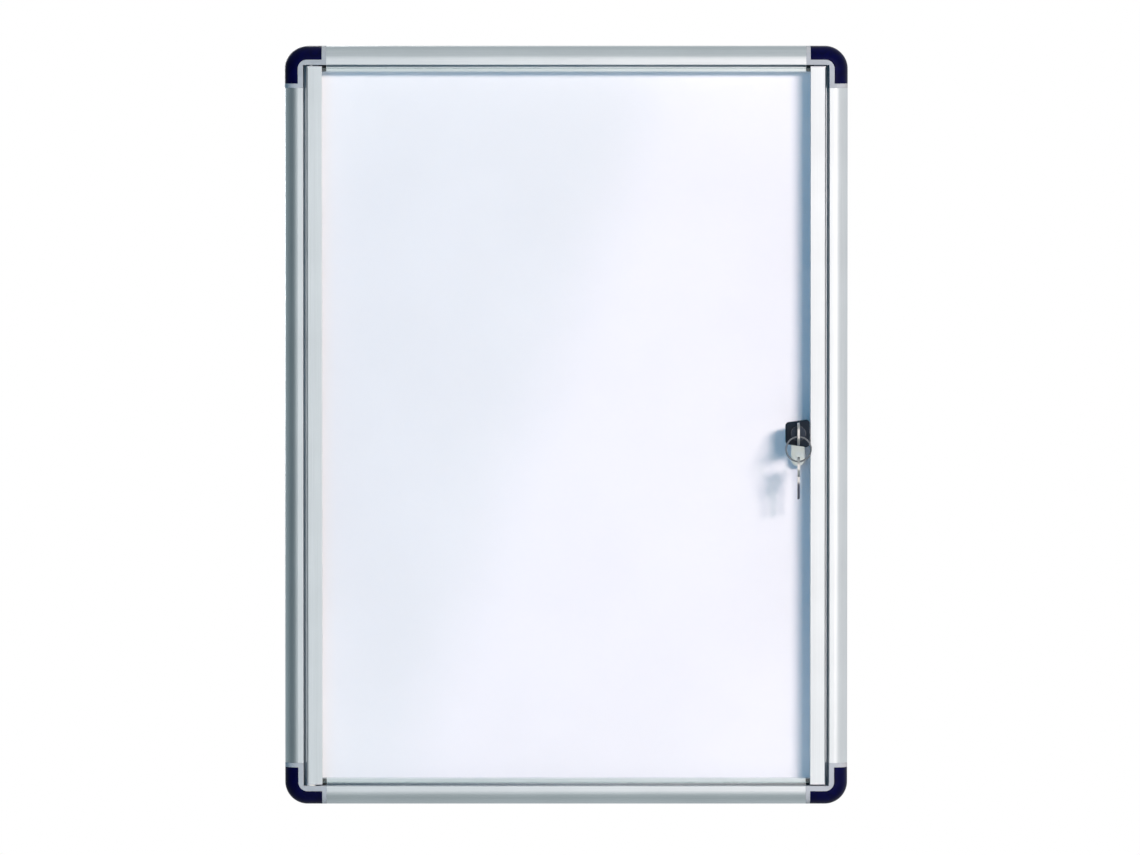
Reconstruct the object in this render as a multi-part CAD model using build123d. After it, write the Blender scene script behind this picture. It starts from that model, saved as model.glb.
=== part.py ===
# Lockable wall notice case: an extruded aluminium frame with moulded corners, a magnetic back panel, and a
# clear door between two stiles, with a cam lock, its key, a split ring and a spare key.
# Millimetres. The origin is the middle of the wall plane, x runs right, z up, and the front faces -y.
# In the sections u runs inward from the outer side of the case, and v runs forward from the wall.
from build123d import *
import os
from math import cos, radians, sin, sqrt

# Case
CASE_WIDTH = 500.0
CASE_HEIGHT = 674.0
INSIDE_DEPTH = 16.3          # clear depth from the board to the pane
CORNER_RADIUS = 20.0

# Frame rails
RAIL_FACE = 16.5             # outer side to door opening, seen from the front
RAIL_WALL = 1.4
SHOULDER_RADIUS = 11.8       # rounded outer front edge, also the width of the corner caps
LAND_EDGE_RADIUS = 0.6
LEDGE_WIDTH = 6.0            # door stop, inward of the rail face
PANEL_BITE = 10.0            # panel edge under the rail lip
PANEL_EDGE_ROOM = 1.5        # panel edge to the floor of its channel
PANEL_PLAY = 0.1
REAR_LIP = 8.5               # rail lip behind the panel

# Back panel
REAR_SHEET_THICK = 0.5
CORE_THICK = 8.8
FACE_SHEET_THICK = 0.5

# Corner brackets and caps
CAP_LEG = 33.0
CAP_WALL = 2.0
CAP_FOOT = 3.0               # bracket rim that shows between the cap and the wall
CAP_EDGE_RADIUS = 0.4
CAP_CLEARANCE = 0.1
CAP_PEG = 3.6
CAP_PEG_LENGTH = 6.0
CAP_PEG_FROM_END = 4.0
CAP_SPIGOT_LENGTH = 9.0
BRACKET_END = 3.8            # bracket strip between the cap and the rail
TENON_LENGTH = 24.0
TENON_CLEARANCE = 0.15
TENON_CHAMFER = 1.0
RAIL_SEAM = 0.1
WALL_HOLE = 4.5
WALL_HEAD_HOLE = 8.0
WALL_HEAD_SEAT = 14.0        # screw head seat, forward from the wall

# Screws through the rails into the tenons
TENON_SCREW = 2.9
TENON_SCREW_HEAD = 5.2
TENON_SCREW_LENGTH = 9.5
TENON_SCREW_FROM_SEAM = 11.0
TENON_SCREW_SINK = 0.05
TENON_SCREW_CLEARANCE = 0.05
CROSS_RECESS_WIDTH = 0.7
CROSS_RECESS_DEPTH = 0.7

# Door
DOOR_SET_BACK = 1.4          # door front behind the rail front
DOOR_SIDE_GAP = 3.0
STILE_END_GAP = 1.2
PANE_END_GAP = 2.8
PANE_THICK = 4.0
PANE_EDGE_CHAMFER = 0.4
GASKET_WALL = 0.5
GASKET_FLOOR = 0.8
GASKET_CLEARANCE = 0.05
STILE_WIDTH = 13.7
STILE_LIP = 1.4
STILE_WALL = 1.3
STILE_CHAMBER = 5.4
STILE_WEB = 1.2
STILE_OUTER_RADIUS = 1.5
STILE_LIP_RADIUS = 0.4
STILE_PLUG_PLATE = 1.0
STILE_PLUG_LENGTH = 14.0
STILE_PLUG_CLEARANCE = 0.1
PIVOT_PIN = 3.5
PIVOT_PIN_REACH = 5.5        # into the bracket
PIVOT_PIN_IN_PLUG = 11.0
PIVOT_PIN_CHAMFER = 0.4
PIVOT_CLEARANCE = 0.05
PIVOT_HOLE_ROOM = 1.0
THRUST_WASHER = 8.0
THRUST_CLEARANCE = 0.1
BUMPER_THICK = 1.5
BUMPER_LENGTH = 6.9          # back from the bracket's end, half of it under the stile
BUMPER_SETBACK = 0.3         # pad to the rail face
BUMPER_RADIUS = 0.8
BUMPER_CLEARANCE = 0.1

# Lock
LOCK_BELOW_MIDDLE = 6.5
LOCK_STILE_CLEARANCE = 0.7
LOCK_BODY_WIDTH = 21.4
LOCK_BODY_HEIGHT = 25.0      # beside the stile
LOCK_BODY_END_HEIGHT = 19.0  # at the free end
LOCK_BODY_THICK = 8.5
LOCK_BODY_RADIUS = 3.0
LOCK_BODY_EDGE = 1.0
LOCK_SEAT_THICK = 0.5
LOCK_SLEEVE_WALL = 0.8
LOCK_BARREL = 15.0
LOCK_BARREL_CHAMFER = 0.6
LOCK_WASHER = 20.0
LOCK_WASHER_THICK = 0.8
LOCK_NUT_ACROSS = 18.6
LOCK_NUT_THICK = 3.5
LOCK_FIT = 0.05
PLUG = 11.0
PLUG_HEAD = 13.0
PLUG_HEAD_THICK = 1.5
PLUG_HEAD_PROUD = 0.4
PLUG_FLOOR = 2.8             # behind the keyway
SHANK_ACROSS = 6.5           # square that carries the cam
CAM_THICK = 1.5
CAM_WIDTH = 12.0
CAM_HUB = 14.0
CAM_BITE = 8.5               # past the rail's inner wall when locked
CAM_GAP = 0.2
CAM_SLOT_PLAY = 1.7
CAM_SCREW = 4.0
CAM_SCREW_HEAD = 7.6
CAM_SCREW_HEAD_THICK = 2.2
CAM_SCREW_HEAD_CHAMFER = 0.7
CAM_SCREW_END_ROOM = 0.5
WAFER_COUNT = 4
WAFER_PITCH = 3.2
WAFER_FIRST = 5.0            # first wafer behind the plug's front
WAFER_THICK = 1.0
WAFER_WIDTH = 7.0
WAFER_LIFT = 0.9
WAFER_CLEARANCE = 0.1

# Keys and split ring
KEY_THICK = 2.0
KEY_FIT = 0.12
KEY_SHOULDER_GAP = 0.2
BLADE_LENGTH = 18.0
BLADE_WIDTH = 6.4
BLADE_TIP = 2.2
BLADE_END_ROOM = 0.6
BLADE_GROOVE_WIDTH = 1.6
BLADE_GROOVE_DEPTH = 0.5
BITTING_DEPTH = 0.8
BITTING_WIDTH = 2.1
NECK_LENGTH = 2.0
NECK_WIDTH = 9.0
BOW_LENGTH = 17.5
BOW_WIDTH = 20.0
BOW_RADIUS = 7.5
BOW_HOLE = 7.0
BOW_RIM = 2.8                # hole to the end of the bow
RING_RADIUS = 11.0           # middle of the wire
RING_WIRE = 1.4
RING_TURN_GAP = 0.45         # between the two turns
RING_BOW_CLEARANCE = 0.5     # wire to the edge of the bow hole
RING_JOG_HALF_ANGLE = 20.0
GAP_SAMPLES = 400            # points along the wire for its gap to itself
GAP_SKIP_WIRES = 3.0         # wire diameters along it that count as one place

# Places across the section
LEDGE_EDGE = RAIL_FACE + LEDGE_WIDTH
PANEL_EDGE = LEDGE_EDGE - PANEL_BITE
CHANNEL_FLOOR = PANEL_EDGE - PANEL_EDGE_ROOM
DOOR_EDGE = RAIL_FACE + DOOR_SIDE_GAP
SLOT_FLOOR = STILE_WALL + STILE_CHAMBER + STILE_WEB
PANE_EDGE = SLOT_FLOOR + GASKET_FLOOR + 2 * GASKET_CLEARANCE
PIVOT_INSET = STILE_WALL + STILE_CHAMBER / 2

# Places forward from the wall
PANEL_BACK = RAIL_WALL + PANEL_PLAY
CORE_BACK = PANEL_BACK + REAR_SHEET_THICK
FACE_SHEET_BACK = CORE_BACK + CORE_THICK
BOARD_FRONT = FACE_SHEET_BACK + FACE_SHEET_THICK
LIP_BACK = BOARD_FRONT + PANEL_PLAY
LIP_FRONT = LIP_BACK + RAIL_WALL
PANE_BACK = BOARD_FRONT + INSIDE_DEPTH
PANE_FRONT = PANE_BACK + PANE_THICK
SLOT_MARGIN = GASKET_WALL + 2 * GASKET_CLEARANCE
DOOR_BACK = PANE_BACK - SLOT_MARGIN - STILE_LIP
DOOR_FRONT = PANE_FRONT + SLOT_MARGIN + STILE_LIP
PIVOT_FORWARD = (DOOR_BACK + DOOR_FRONT) / 2
CASE_DEPTH = DOOR_FRONT + DOOR_SET_BACK
LEDGE_FRONT = DOOR_BACK - BUMPER_THICK - BUMPER_CLEARANCE
LOCK_BODY_BACK = PANE_FRONT + LOCK_SEAT_THICK
LOCK_BODY_FRONT = LOCK_BODY_BACK + LOCK_BODY_THICK
PLUG_FRONT = LOCK_BODY_FRONT + PLUG_HEAD_PROUD
PLUG_HEAD_BACK = PLUG_FRONT - PLUG_HEAD_THICK
KEYWAY_END = PLUG_FRONT - BLADE_LENGTH - BLADE_END_ROOM
BARREL_END = KEYWAY_END - PLUG_FLOOR
CAM_FRONT = BARREL_END - CAM_GAP
CAM_BACK = CAM_FRONT - CAM_THICK

# Places of the door and the lock
DOOR_HALF_WIDTH = CASE_WIDTH / 2 - DOOR_EDGE
DOOR_HALF_HEIGHT = CASE_HEIGHT / 2 - RAIL_FACE - STILE_END_GAP
STILE_HALF_HEIGHT = DOOR_HALF_HEIGHT - STILE_PLUG_PLATE
PANE_HALF_WIDTH = DOOR_HALF_WIDTH - PANE_EDGE
PANE_HALF_HEIGHT = CASE_HEIGHT / 2 - RAIL_FACE - PANE_END_GAP
PIVOT_X = -DOOR_HALF_WIDTH + PIVOT_INSET
LOCK_X = DOOR_HALF_WIDTH - STILE_WIDTH - LOCK_STILE_CLEARANCE - LOCK_WASHER / 2
LOCK_Z = -LOCK_BELOW_MIDDLE
PANE_HOLE = LOCK_BARREL + 2 * (LOCK_SLEEVE_WALL + 2 * LOCK_FIT)
WALL_DISTANCE = CASE_WIDTH / 2 - LEDGE_EDGE - LOCK_X
CAM_REACH = WALL_DISTANCE + CAM_BITE

# Places of the corners
BRACKET_LEG = CAP_LEG + CAP_CLEARANCE + BRACKET_END
RAIL_START = BRACKET_LEG + RAIL_SEAM
TENON_OUTER = RAIL_WALL + TENON_CLEARANCE
TENON_INNER = CHANNEL_FLOOR - RAIL_WALL - TENON_CLEARANCE
TENON_MIDDLE = (TENON_OUTER + TENON_INNER) / 2
TENON_FRONT = CASE_DEPTH - SHOULDER_RADIUS
SCREW_ALONG = RAIL_START + TENON_SCREW_FROM_SEAM
WALL_HOLE_INSET = (CAP_WALL + CAP_CLEARANCE + CHANNEL_FLOOR) / 2
WALL_HOLE_ALONG = (CORNER_RADIUS + CAP_LEG) / 2
PEG_ALONG = CAP_LEG - CAP_PEG_FROM_END
PEG_INSET = SHOULDER_RADIUS - CAP_PEG

# Places of the keys and the ring
SHOULDER_FORWARD = PLUG_FRONT + KEY_SHOULDER_GAP
BOW_HOLE_ALONG = NECK_LENGTH + BOW_LENGTH - BOW_RIM - BOW_HOLE / 2
RING_FORWARD = SHOULDER_FORWARD + BOW_HOLE_ALONG
RING_LEVEL = (RING_WIRE + RING_TURN_GAP) / 2
WIRE_IN_HOLE = BOW_HOLE / 2 - RING_BOW_CLEARANCE - RING_WIRE / 2
RING_Z = LOCK_Z - WIRE_IN_HOLE - RING_RADIUS
SPARE_HOLE_Z = RING_Z - RING_RADIUS - WIRE_IN_HOLE

# The plane that swaps the two legs of a corner
CORNER_DIAGONAL = Plane(origin=(0, 0, 0), z_dir=(1, 0, -1))
# Far enough past any face for a cut to run clear
PAST = 5.0


def rectangle(u0, u1, v0, v1):
    """A flat rectangle between two places each way."""
    return Pos((u0 + u1) / 2, (v0 + v1) / 2) * Rectangle(u1 - u0, v1 - v0)


def polygon(*points):
    """A flat face through the points."""
    return make_face(Polyline(*points, close=True))


def rounded(face, radius, *points):
    """The face with the corners at the points rounded."""
    corners = [face.vertices().sort_by_distance((u, v, 0))[0] for u, v in points]
    return fillet(corners, radius)


def leg_plane(along):
    """The section plane of a bottom leg, at a place along x, with u up and v forward."""
    return Plane(origin=(along, 0, 0), x_dir=(0, 0, 1), z_dir=(1, 0, 0))


def front_plane(forward):
    """An upright plane that faces forward, with x and z as its own axes."""
    return Plane(origin=(0, -forward, 0), x_dir=(1, 0, 0), z_dir=(0, -1, 0))


def plate(face, back, front):
    """A flat face in x and z, from one place forward of the wall to another."""
    return extrude(front_plane(back) * face, front - back)


def rod(diameter, back, front, x=0.0, z=0.0):
    """A round bar square to the wall."""
    return plate(Pos(x, z) * Circle(diameter / 2), back, front)


def turned(*points):
    """A solid turned about the line through the origin square to the wall, from radius and place forward."""
    return revolve(polygon(*[(radius, -forward) for radius, forward in points]), axis=Axis.Y)


def at_lock(shape):
    """The shape moved from the origin to the lock's axis."""
    return Pos(LOCK_X, 0, LOCK_Z) * shape


def rail_outline():
    """The rail's outer contour, also that of the brackets at their ends."""
    face = polygon(
        (0, 0),
        (0, CASE_DEPTH),
        (RAIL_FACE, CASE_DEPTH),
        (RAIL_FACE, LEDGE_FRONT),
        (LEDGE_EDGE, LEDGE_FRONT),
        (LEDGE_EDGE, LIP_BACK),
        (CHANNEL_FLOOR, LIP_BACK),
        (CHANNEL_FLOOR, RAIL_WALL),
        (PANEL_EDGE + REAR_LIP, RAIL_WALL),
        (PANEL_EDGE + REAR_LIP, 0),
    )
    face = rounded(face, SHOULDER_RADIUS, (0, CASE_DEPTH))
    return rounded(face, LAND_EDGE_RADIUS, (RAIL_FACE, CASE_DEPTH))


def rail_chamber():
    """The hollow inside a rail."""
    face = polygon(
        (RAIL_WALL, RAIL_WALL),
        (RAIL_WALL, CASE_DEPTH - RAIL_WALL),
        (RAIL_FACE - RAIL_WALL, CASE_DEPTH - RAIL_WALL),
        (RAIL_FACE - RAIL_WALL, LEDGE_FRONT - RAIL_WALL),
        (LEDGE_EDGE - RAIL_WALL, LEDGE_FRONT - RAIL_WALL),
        (LEDGE_EDGE - RAIL_WALL, LIP_FRONT),
        (CHANNEL_FLOOR - RAIL_WALL, LIP_FRONT),
        (CHANNEL_FLOOR - RAIL_WALL, RAIL_WALL),
    )
    return rounded(face, SHOULDER_RADIUS - RAIL_WALL, (RAIL_WALL, CASE_DEPTH - RAIL_WALL))


def cap_band(inset, reach, foot):
    """A band of the rounded shoulder and the outer side, as thick as the inset."""
    core = rectangle(inset, reach + PAST, foot - PAST, CASE_DEPTH - inset)
    core = rounded(core, SHOULDER_RADIUS - inset, (inset, CASE_DEPTH - inset))
    return (rail_outline() & rectangle(0, reach, foot, CASE_DEPTH)) - core


def cap_section():
    face = cap_band(CAP_WALL, SHOULDER_RADIUS, CAP_FOOT)
    return rounded(face, CAP_EDGE_RADIUS, (SHOULDER_RADIUS, CASE_DEPTH))


def bracket_section():
    """The bracket's contour where the cap lies over it."""
    return rail_outline() - cap_band(
        CAP_WALL + CAP_CLEARANCE,
        SHOULDER_RADIUS + CAP_CLEARANCE,
        CAP_FOOT - CAP_CLEARANCE,
    )


def both_legs(leg):
    """A bottom leg and its mirror image up the side."""
    return leg + mirror(leg, about=CORNER_DIAGONAL)


def corner_sweep(section, leg_end):
    """A section carried round the corner's outer radius and along both legs."""
    leg = extrude(leg_plane(CORNER_RADIUS) * section, leg_end - CORNER_RADIUS)
    inside = section & rectangle(0, CORNER_RADIUS, -PAST, CASE_DEPTH + PAST)
    bend_axis = Axis((CORNER_RADIUS, 0, CORNER_RADIUS), (0, 1, 0))
    bend = revolve(leg_plane(CORNER_RADIUS) * inside, axis=bend_axis, revolution_arc=90)
    return bend + both_legs(leg)


def corner_block(from_u, back, front):
    """A block that fills the square inside a corner, from one place inward."""
    square = rectangle(from_u, BRACKET_LEG + PAST, from_u, BRACKET_LEG + PAST)
    return plate(square, back, front)


def tenon():
    """The end of a bracket's bottom leg that slides into the rail."""
    section = rectangle(TENON_OUTER, TENON_INNER, TENON_OUTER, TENON_FRONT)
    bar = extrude(leg_plane(BRACKET_LEG) * section, TENON_LENGTH)
    hole = rod(
        TENON_SCREW + 2 * TENON_SCREW_CLEARANCE,
        -PAST,
        TENON_SCREW_LENGTH + TENON_SCREW_CLEARANCE,
        SCREW_ALONG,
        TENON_MIDDLE,
    )
    return chamfer(bar.edges().group_by(Axis.X)[-1], TENON_CHAMFER) - hole


def corner_bracket(with_pivot):
    """The bottom left bracket, with its outer corner at the origin."""
    end_strip = extrude(leg_plane(CAP_LEG + CAP_CLEARANCE) * rail_outline(), BRACKET_END)
    body = corner_sweep(bracket_section(), CAP_LEG + CAP_CLEARANCE)
    body += both_legs(end_strip + tenon())
    body -= corner_block(CHANNEL_FLOOR, RAIL_WALL, LIP_BACK)
    body -= corner_block(RAIL_FACE, LEDGE_FRONT, CASE_DEPTH + PAST)
    body -= rod(WALL_HOLE, -PAST, CASE_DEPTH + PAST, WALL_HOLE_INSET, WALL_HOLE_ALONG)
    body -= rod(WALL_HEAD_HOLE, WALL_HEAD_SEAT, CASE_DEPTH + PAST, WALL_HOLE_INSET, WALL_HOLE_ALONG)
    peg_back = CASE_DEPTH - CAP_WALL - CAP_PEG_LENGTH - CAP_CLEARANCE
    body -= rod(CAP_PEG + 2 * CAP_CLEARANCE, peg_back, CASE_DEPTH + PAST, PEG_ALONG, PEG_INSET)
    if with_pivot:
        hole_depth = PIVOT_PIN_REACH + PIVOT_HOLE_ROOM
        body -= Pos(DOOR_EDGE + PIVOT_INSET, -PIVOT_FORWARD, RAIL_FACE - hole_depth) * Cylinder(
            PIVOT_PIN / 2 + PIVOT_CLEARANCE,
            hole_depth + PAST,
            align=(Align.CENTER, Align.CENTER, Align.MIN),
        )
    return body


def corner_cap():
    """The bottom left cap, with its outer corner at the origin."""
    shell = corner_sweep(cap_section(), CAP_LEG)
    under = CASE_DEPTH - CAP_WALL
    peg = rod(CAP_PEG, under - CAP_PEG_LENGTH, under, PEG_ALONG, PEG_INSET)
    spigot = rod(
        WALL_HEAD_HOLE - 2 * CAP_CLEARANCE,
        under - CAP_SPIGOT_LENGTH,
        under,
        WALL_HOLE_INSET,
        WALL_HOLE_ALONG,
    )
    # Both plugs end inside the shell, under its rounded shoulder
    inside = extrude(leg_plane(0) * rail_outline(), CAP_LEG)
    inside_upright = mirror(inside, about=CORNER_DIAGONAL)
    return shell + (peg & inside) + (spigot & inside_upright)


def place_corner(shape, side_x, side_z):
    """A bottom left corner piece moved to its corner, mirrored where that needs it."""
    if side_x > 0:
        shape = mirror(shape, about=Plane.YZ)
    if side_z > 0:
        shape = mirror(shape, about=Plane.XY)
    return Pos(side_x * CASE_WIDTH / 2, 0, side_z * CASE_HEIGHT / 2) * shape


def tenon_screw_places():
    """Where the screws enter the rails, in x and z."""
    places = []
    for side_x in (-1, 1):
        for side_z in (-1, 1):
            half_width = side_x * CASE_WIDTH / 2
            half_height = side_z * CASE_HEIGHT / 2
            places.append((half_width - side_x * SCREW_ALONG, half_height - side_z * TENON_MIDDLE))
            places.append((half_width - side_x * TENON_MIDDLE, half_height - side_z * SCREW_ALONG))
    return places


def tenon_screw():
    """A countersunk screw pointing forward from the wall plane."""
    head = TENON_SCREW_HEAD / 2
    shank = TENON_SCREW / 2
    screw = turned(
        (0, TENON_SCREW_SINK),
        (head, TENON_SCREW_SINK),
        (shank, TENON_SCREW_SINK + head - shank),
        (shank, TENON_SCREW_LENGTH - shank),
        (0, TENON_SCREW_LENGTH),
    )
    cross = Rectangle(head, CROSS_RECESS_WIDTH) + Rectangle(CROSS_RECESS_WIDTH, head)
    return screw - plate(cross, 0, TENON_SCREW_SINK + CROSS_RECESS_DEPTH)


def countersink():
    """The room for a screw's head and shank in the rail's rear wall."""
    head = TENON_SCREW_HEAD / 2 + TENON_SCREW_CLEARANCE
    shank = TENON_SCREW / 2 + TENON_SCREW_CLEARANCE
    depth = TENON_SCREW_SINK + head - shank + TENON_SCREW_CLEARANCE
    return turned((0, 0), (head, 0), (shank, depth), (shank, RAIL_WALL + PAST), (0, RAIL_WALL + PAST))


def frame_rail(length):
    """A rail along the bottom of the case, from the bracket at its left."""
    section = rail_outline() - rail_chamber()
    return extrude(leg_plane(RAIL_START) * section, length - 2 * RAIL_START)


def drilled(rail):
    """The rail with a countersunk hole for each screw."""
    for x, z in tenon_screw_places():
        rail -= Pos(x, 0, z) * countersink()
    return rail


def cam_slot():
    """The slot in the right rail's inner wall that the cam swings into."""
    cam_drop = sqrt(CAM_REACH**2 - WALL_DISTANCE**2)
    wall_face = CASE_WIDTH / 2 - LEDGE_EDGE
    slot = rectangle(
        wall_face - RAIL_WALL,
        wall_face + 2 * RAIL_WALL,
        LOCK_Z - cam_drop - CAM_SLOT_PLAY,
        LOCK_Z + CAM_WIDTH / 2 + CAM_SLOT_PLAY,
    )
    return plate(slot, CAM_BACK - CAM_SLOT_PLAY, CAM_FRONT + CAM_SLOT_PLAY)


def frame_rails():
    """The four rails in their places."""
    across = place_corner(frame_rail(CASE_WIDTH), -1, -1)
    upright = mirror(frame_rail(CASE_HEIGHT), about=CORNER_DIAGONAL)
    upright = place_corner(upright, -1, -1)
    bottom = drilled(across)
    left = drilled(upright)
    return {
        "rail_bottom": bottom,
        "rail_top": mirror(bottom, about=Plane.XY),
        "rail_left": left,
        "rail_right": mirror(left, about=Plane.YZ) - cam_slot(),
    }


def panel_layer(back, front):
    """One layer of the back panel, in the channel all round."""
    return plate(
        Rectangle(CASE_WIDTH - 2 * PANEL_EDGE, CASE_HEIGHT - 2 * PANEL_EDGE),
        back,
        front,
    )


def door_bumpers():
    """Four soft pads on the brackets' ledges, half under the ends of the stiles."""
    pad = rectangle(
        BRACKET_LEG - BUMPER_LENGTH,
        BRACKET_LEG,
        RAIL_FACE + BUMPER_SETBACK,
        LEDGE_EDGE,
    )
    pad = plate(fillet(pad.vertices(), BUMPER_RADIUS), LEDGE_FRONT, LEDGE_FRONT + BUMPER_THICK)
    return [place_corner(pad, side_x, side_z) for side_x in (-1, 1) for side_z in (-1, 1)]


def upright_plane(top):
    """A level plane at a height, with x and v as its own axes, that is extruded downward."""
    return Plane(origin=(-DOOR_HALF_WIDTH, 0, top), x_dir=(1, 0, 0), z_dir=(0, 0, -1))


def stile_outline():
    """The hinge stile's outer contour, with u from the door's outer edge."""
    face = rectangle(0, STILE_WIDTH, DOOR_BACK, DOOR_FRONT)
    face = rounded(face, STILE_OUTER_RADIUS, (0, DOOR_BACK), (0, DOOR_FRONT))
    return rounded(face, STILE_LIP_RADIUS, (STILE_WIDTH, DOOR_BACK), (STILE_WIDTH, DOOR_FRONT))


def hinge_stile():
    """An extrusion with a slot for the pane and a chamber for the end plugs."""
    slot = rectangle(SLOT_FLOOR, STILE_WIDTH + PAST, PANE_BACK - SLOT_MARGIN, PANE_FRONT + SLOT_MARGIN)
    chamber = rectangle(
        STILE_WALL,
        STILE_WALL + STILE_CHAMBER,
        DOOR_BACK + STILE_WALL,
        DOOR_FRONT - STILE_WALL,
    )
    section = stile_outline() - slot - chamber
    return extrude(upright_plane(STILE_HALF_HEIGHT) * section, 2 * STILE_HALF_HEIGHT)


def stile_gasket():
    """A soft channel between the hinge stile and the pane."""
    outer = rectangle(
        SLOT_FLOOR + GASKET_CLEARANCE,
        STILE_WIDTH,
        PANE_BACK - GASKET_WALL - GASKET_CLEARANCE,
        PANE_FRONT + GASKET_WALL + GASKET_CLEARANCE,
    )
    pane_room = rectangle(
        PANE_EDGE - GASKET_CLEARANCE,
        STILE_WIDTH + PAST,
        PANE_BACK - GASKET_CLEARANCE,
        PANE_FRONT + GASKET_CLEARANCE,
    )
    return extrude(upright_plane(PANE_HALF_HEIGHT) * (outer - pane_room), 2 * PANE_HALF_HEIGHT)


def stile_plug(with_pin):
    """The plug in the top end of the hinge stile: a plate and a spigot, bored for the pin on the hinge side."""
    spigot = rectangle(
        STILE_WALL + STILE_PLUG_CLEARANCE,
        STILE_WALL + STILE_CHAMBER - STILE_PLUG_CLEARANCE,
        DOOR_BACK + STILE_WALL + STILE_PLUG_CLEARANCE,
        DOOR_FRONT - STILE_WALL - STILE_PLUG_CLEARANCE,
    )
    plug = extrude(upright_plane(DOOR_HALF_HEIGHT) * stile_outline(), STILE_PLUG_PLATE)
    plug += extrude(upright_plane(STILE_HALF_HEIGHT) * spigot, STILE_PLUG_LENGTH)
    if with_pin:
        bore = Pos(PIVOT_INSET, PIVOT_FORWARD) * Circle(PIVOT_PIN / 2 + PIVOT_CLEARANCE)
        plug -= extrude(upright_plane(DOOR_HALF_HEIGHT) * bore, PIVOT_PIN_IN_PLUG)
    return plug


def pivot_pin():
    """The pin from the top plug up into the bracket."""
    length = PIVOT_PIN_IN_PLUG + STILE_END_GAP + PIVOT_PIN_REACH
    pin = Cylinder(PIVOT_PIN / 2, length, align=(Align.CENTER, Align.CENTER, Align.MIN))
    pin = chamfer(pin.edges().filter_by(GeomType.CIRCLE), PIVOT_PIN_CHAMFER)
    return Pos(PIVOT_X, -PIVOT_FORWARD, DOOR_HALF_HEIGHT - PIVOT_PIN_IN_PLUG) * pin


def thrust_washer():
    """A washer on the bottom bracket that carries the door."""
    thick = STILE_END_GAP - THRUST_CLEARANCE
    ring = Circle(THRUST_WASHER / 2) - Circle(PIVOT_PIN / 2 + PIVOT_CLEARANCE)
    return Pos(PIVOT_X, -PIVOT_FORWARD, RAIL_FACE - CASE_HEIGHT / 2) * extrude(ring, thick)


def door_pane():
    """The clear pane with a hole for the lock."""
    sheet = plate(Rectangle(2 * PANE_HALF_WIDTH, 2 * PANE_HALF_HEIGHT), PANE_BACK, PANE_FRONT)
    long_edges = sheet.edges().filter_by(Axis.X)
    sheet = chamfer(long_edges, PANE_EDGE_CHAMFER)
    return sheet - rod(PANE_HOLE, PANE_BACK - PAST, PANE_FRONT + PAST, LOCK_X, LOCK_Z)


def lock_outline():
    """The lock body seen from the front, about the lock's axis: taller beside the stile."""
    right = LOCK_WASHER / 2
    left = right - LOCK_BODY_WIDTH
    tall = LOCK_BODY_HEIGHT / 2
    low = LOCK_BODY_END_HEIGHT / 2
    face = polygon((left, -low), (right, -tall), (right, tall), (left, low))
    return fillet(face.vertices(), LOCK_BODY_RADIUS)


def wafer_forward(index):
    """The middle of a wafer, forward from the wall."""
    return PLUG_FRONT - WAFER_FIRST - index * WAFER_PITCH


def lock_body():
    """The body in front of the pane and the barrel through it, bored for the plug."""
    block = plate(lock_outline(), LOCK_BODY_BACK, LOCK_BODY_FRONT)
    block = fillet(block.faces().sort_by(Axis.Y)[0].edges(), LOCK_BODY_EDGE)
    barrel = turned(
        (0, BARREL_END),
        (LOCK_BARREL / 2 - LOCK_BARREL_CHAMFER, BARREL_END),
        (LOCK_BARREL / 2, BARREL_END + LOCK_BARREL_CHAMFER),
        (LOCK_BARREL / 2, LOCK_BODY_FRONT - LOCK_BODY_EDGE),
        (0, LOCK_BODY_FRONT - LOCK_BODY_EDGE),
    )
    body = block + barrel
    body -= rod(PLUG + 2 * LOCK_FIT, BARREL_END - PAST, LOCK_BODY_FRONT + PAST)
    body -= rod(PLUG_HEAD + 2 * LOCK_FIT, PLUG_HEAD_BACK - LOCK_FIT, LOCK_BODY_FRONT + PAST)
    return body - wafer_grooves()


def wafer_grooves():
    """Grooves in the bore that the wafers spring into, above for unlocked and at the left for locked."""
    half = WAFER_WIDTH / 2 + 2 * WAFER_CLEARANCE
    top = PLUG / 2 + WAFER_LIFT + 2 * WAFER_CLEARANCE
    back = wafer_forward(WAFER_COUNT - 1) - WAFER_THICK / 2 - 2 * WAFER_CLEARANCE
    front = wafer_forward(0) + WAFER_THICK / 2 + 2 * WAFER_CLEARANCE
    upper = rectangle(-half, half, 0, top) & Circle(top)
    return plate(upper + Rot(0, 0, 90) * upper, back, front)


def lock_seat():
    """A soft seat under the lock body, with a sleeve through the pane."""
    flange = plate(lock_outline(), PANE_FRONT, LOCK_BODY_BACK)
    sleeve = rod(PANE_HOLE - 2 * LOCK_FIT, PANE_BACK, PANE_FRONT)
    return flange + sleeve - rod(LOCK_BARREL + 2 * LOCK_FIT, PANE_BACK - PAST, LOCK_BODY_BACK + PAST)


def lock_washer():
    ring = Circle(LOCK_WASHER / 2) - Circle(LOCK_BARREL / 2 + LOCK_FIT)
    return plate(ring, PANE_BACK - LOCK_WASHER_THICK, PANE_BACK)


def lock_nut():
    """A hexagon nut behind the washer, with two flats upright."""
    hexagon = RegularPolygon(LOCK_NUT_ACROSS / 2, 6, major_radius=False, rotation=30)
    front = PANE_BACK - LOCK_WASHER_THICK
    return plate(hexagon - Circle(LOCK_BARREL / 2 + LOCK_FIT), front - LOCK_NUT_THICK, front)


def keyway():
    """The slot for the key's blade."""
    face = Rectangle(KEY_THICK + 2 * KEY_FIT, BLADE_WIDTH + 2 * KEY_FIT)
    return plate(face, KEYWAY_END, PLUG_FRONT + PAST)


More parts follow.
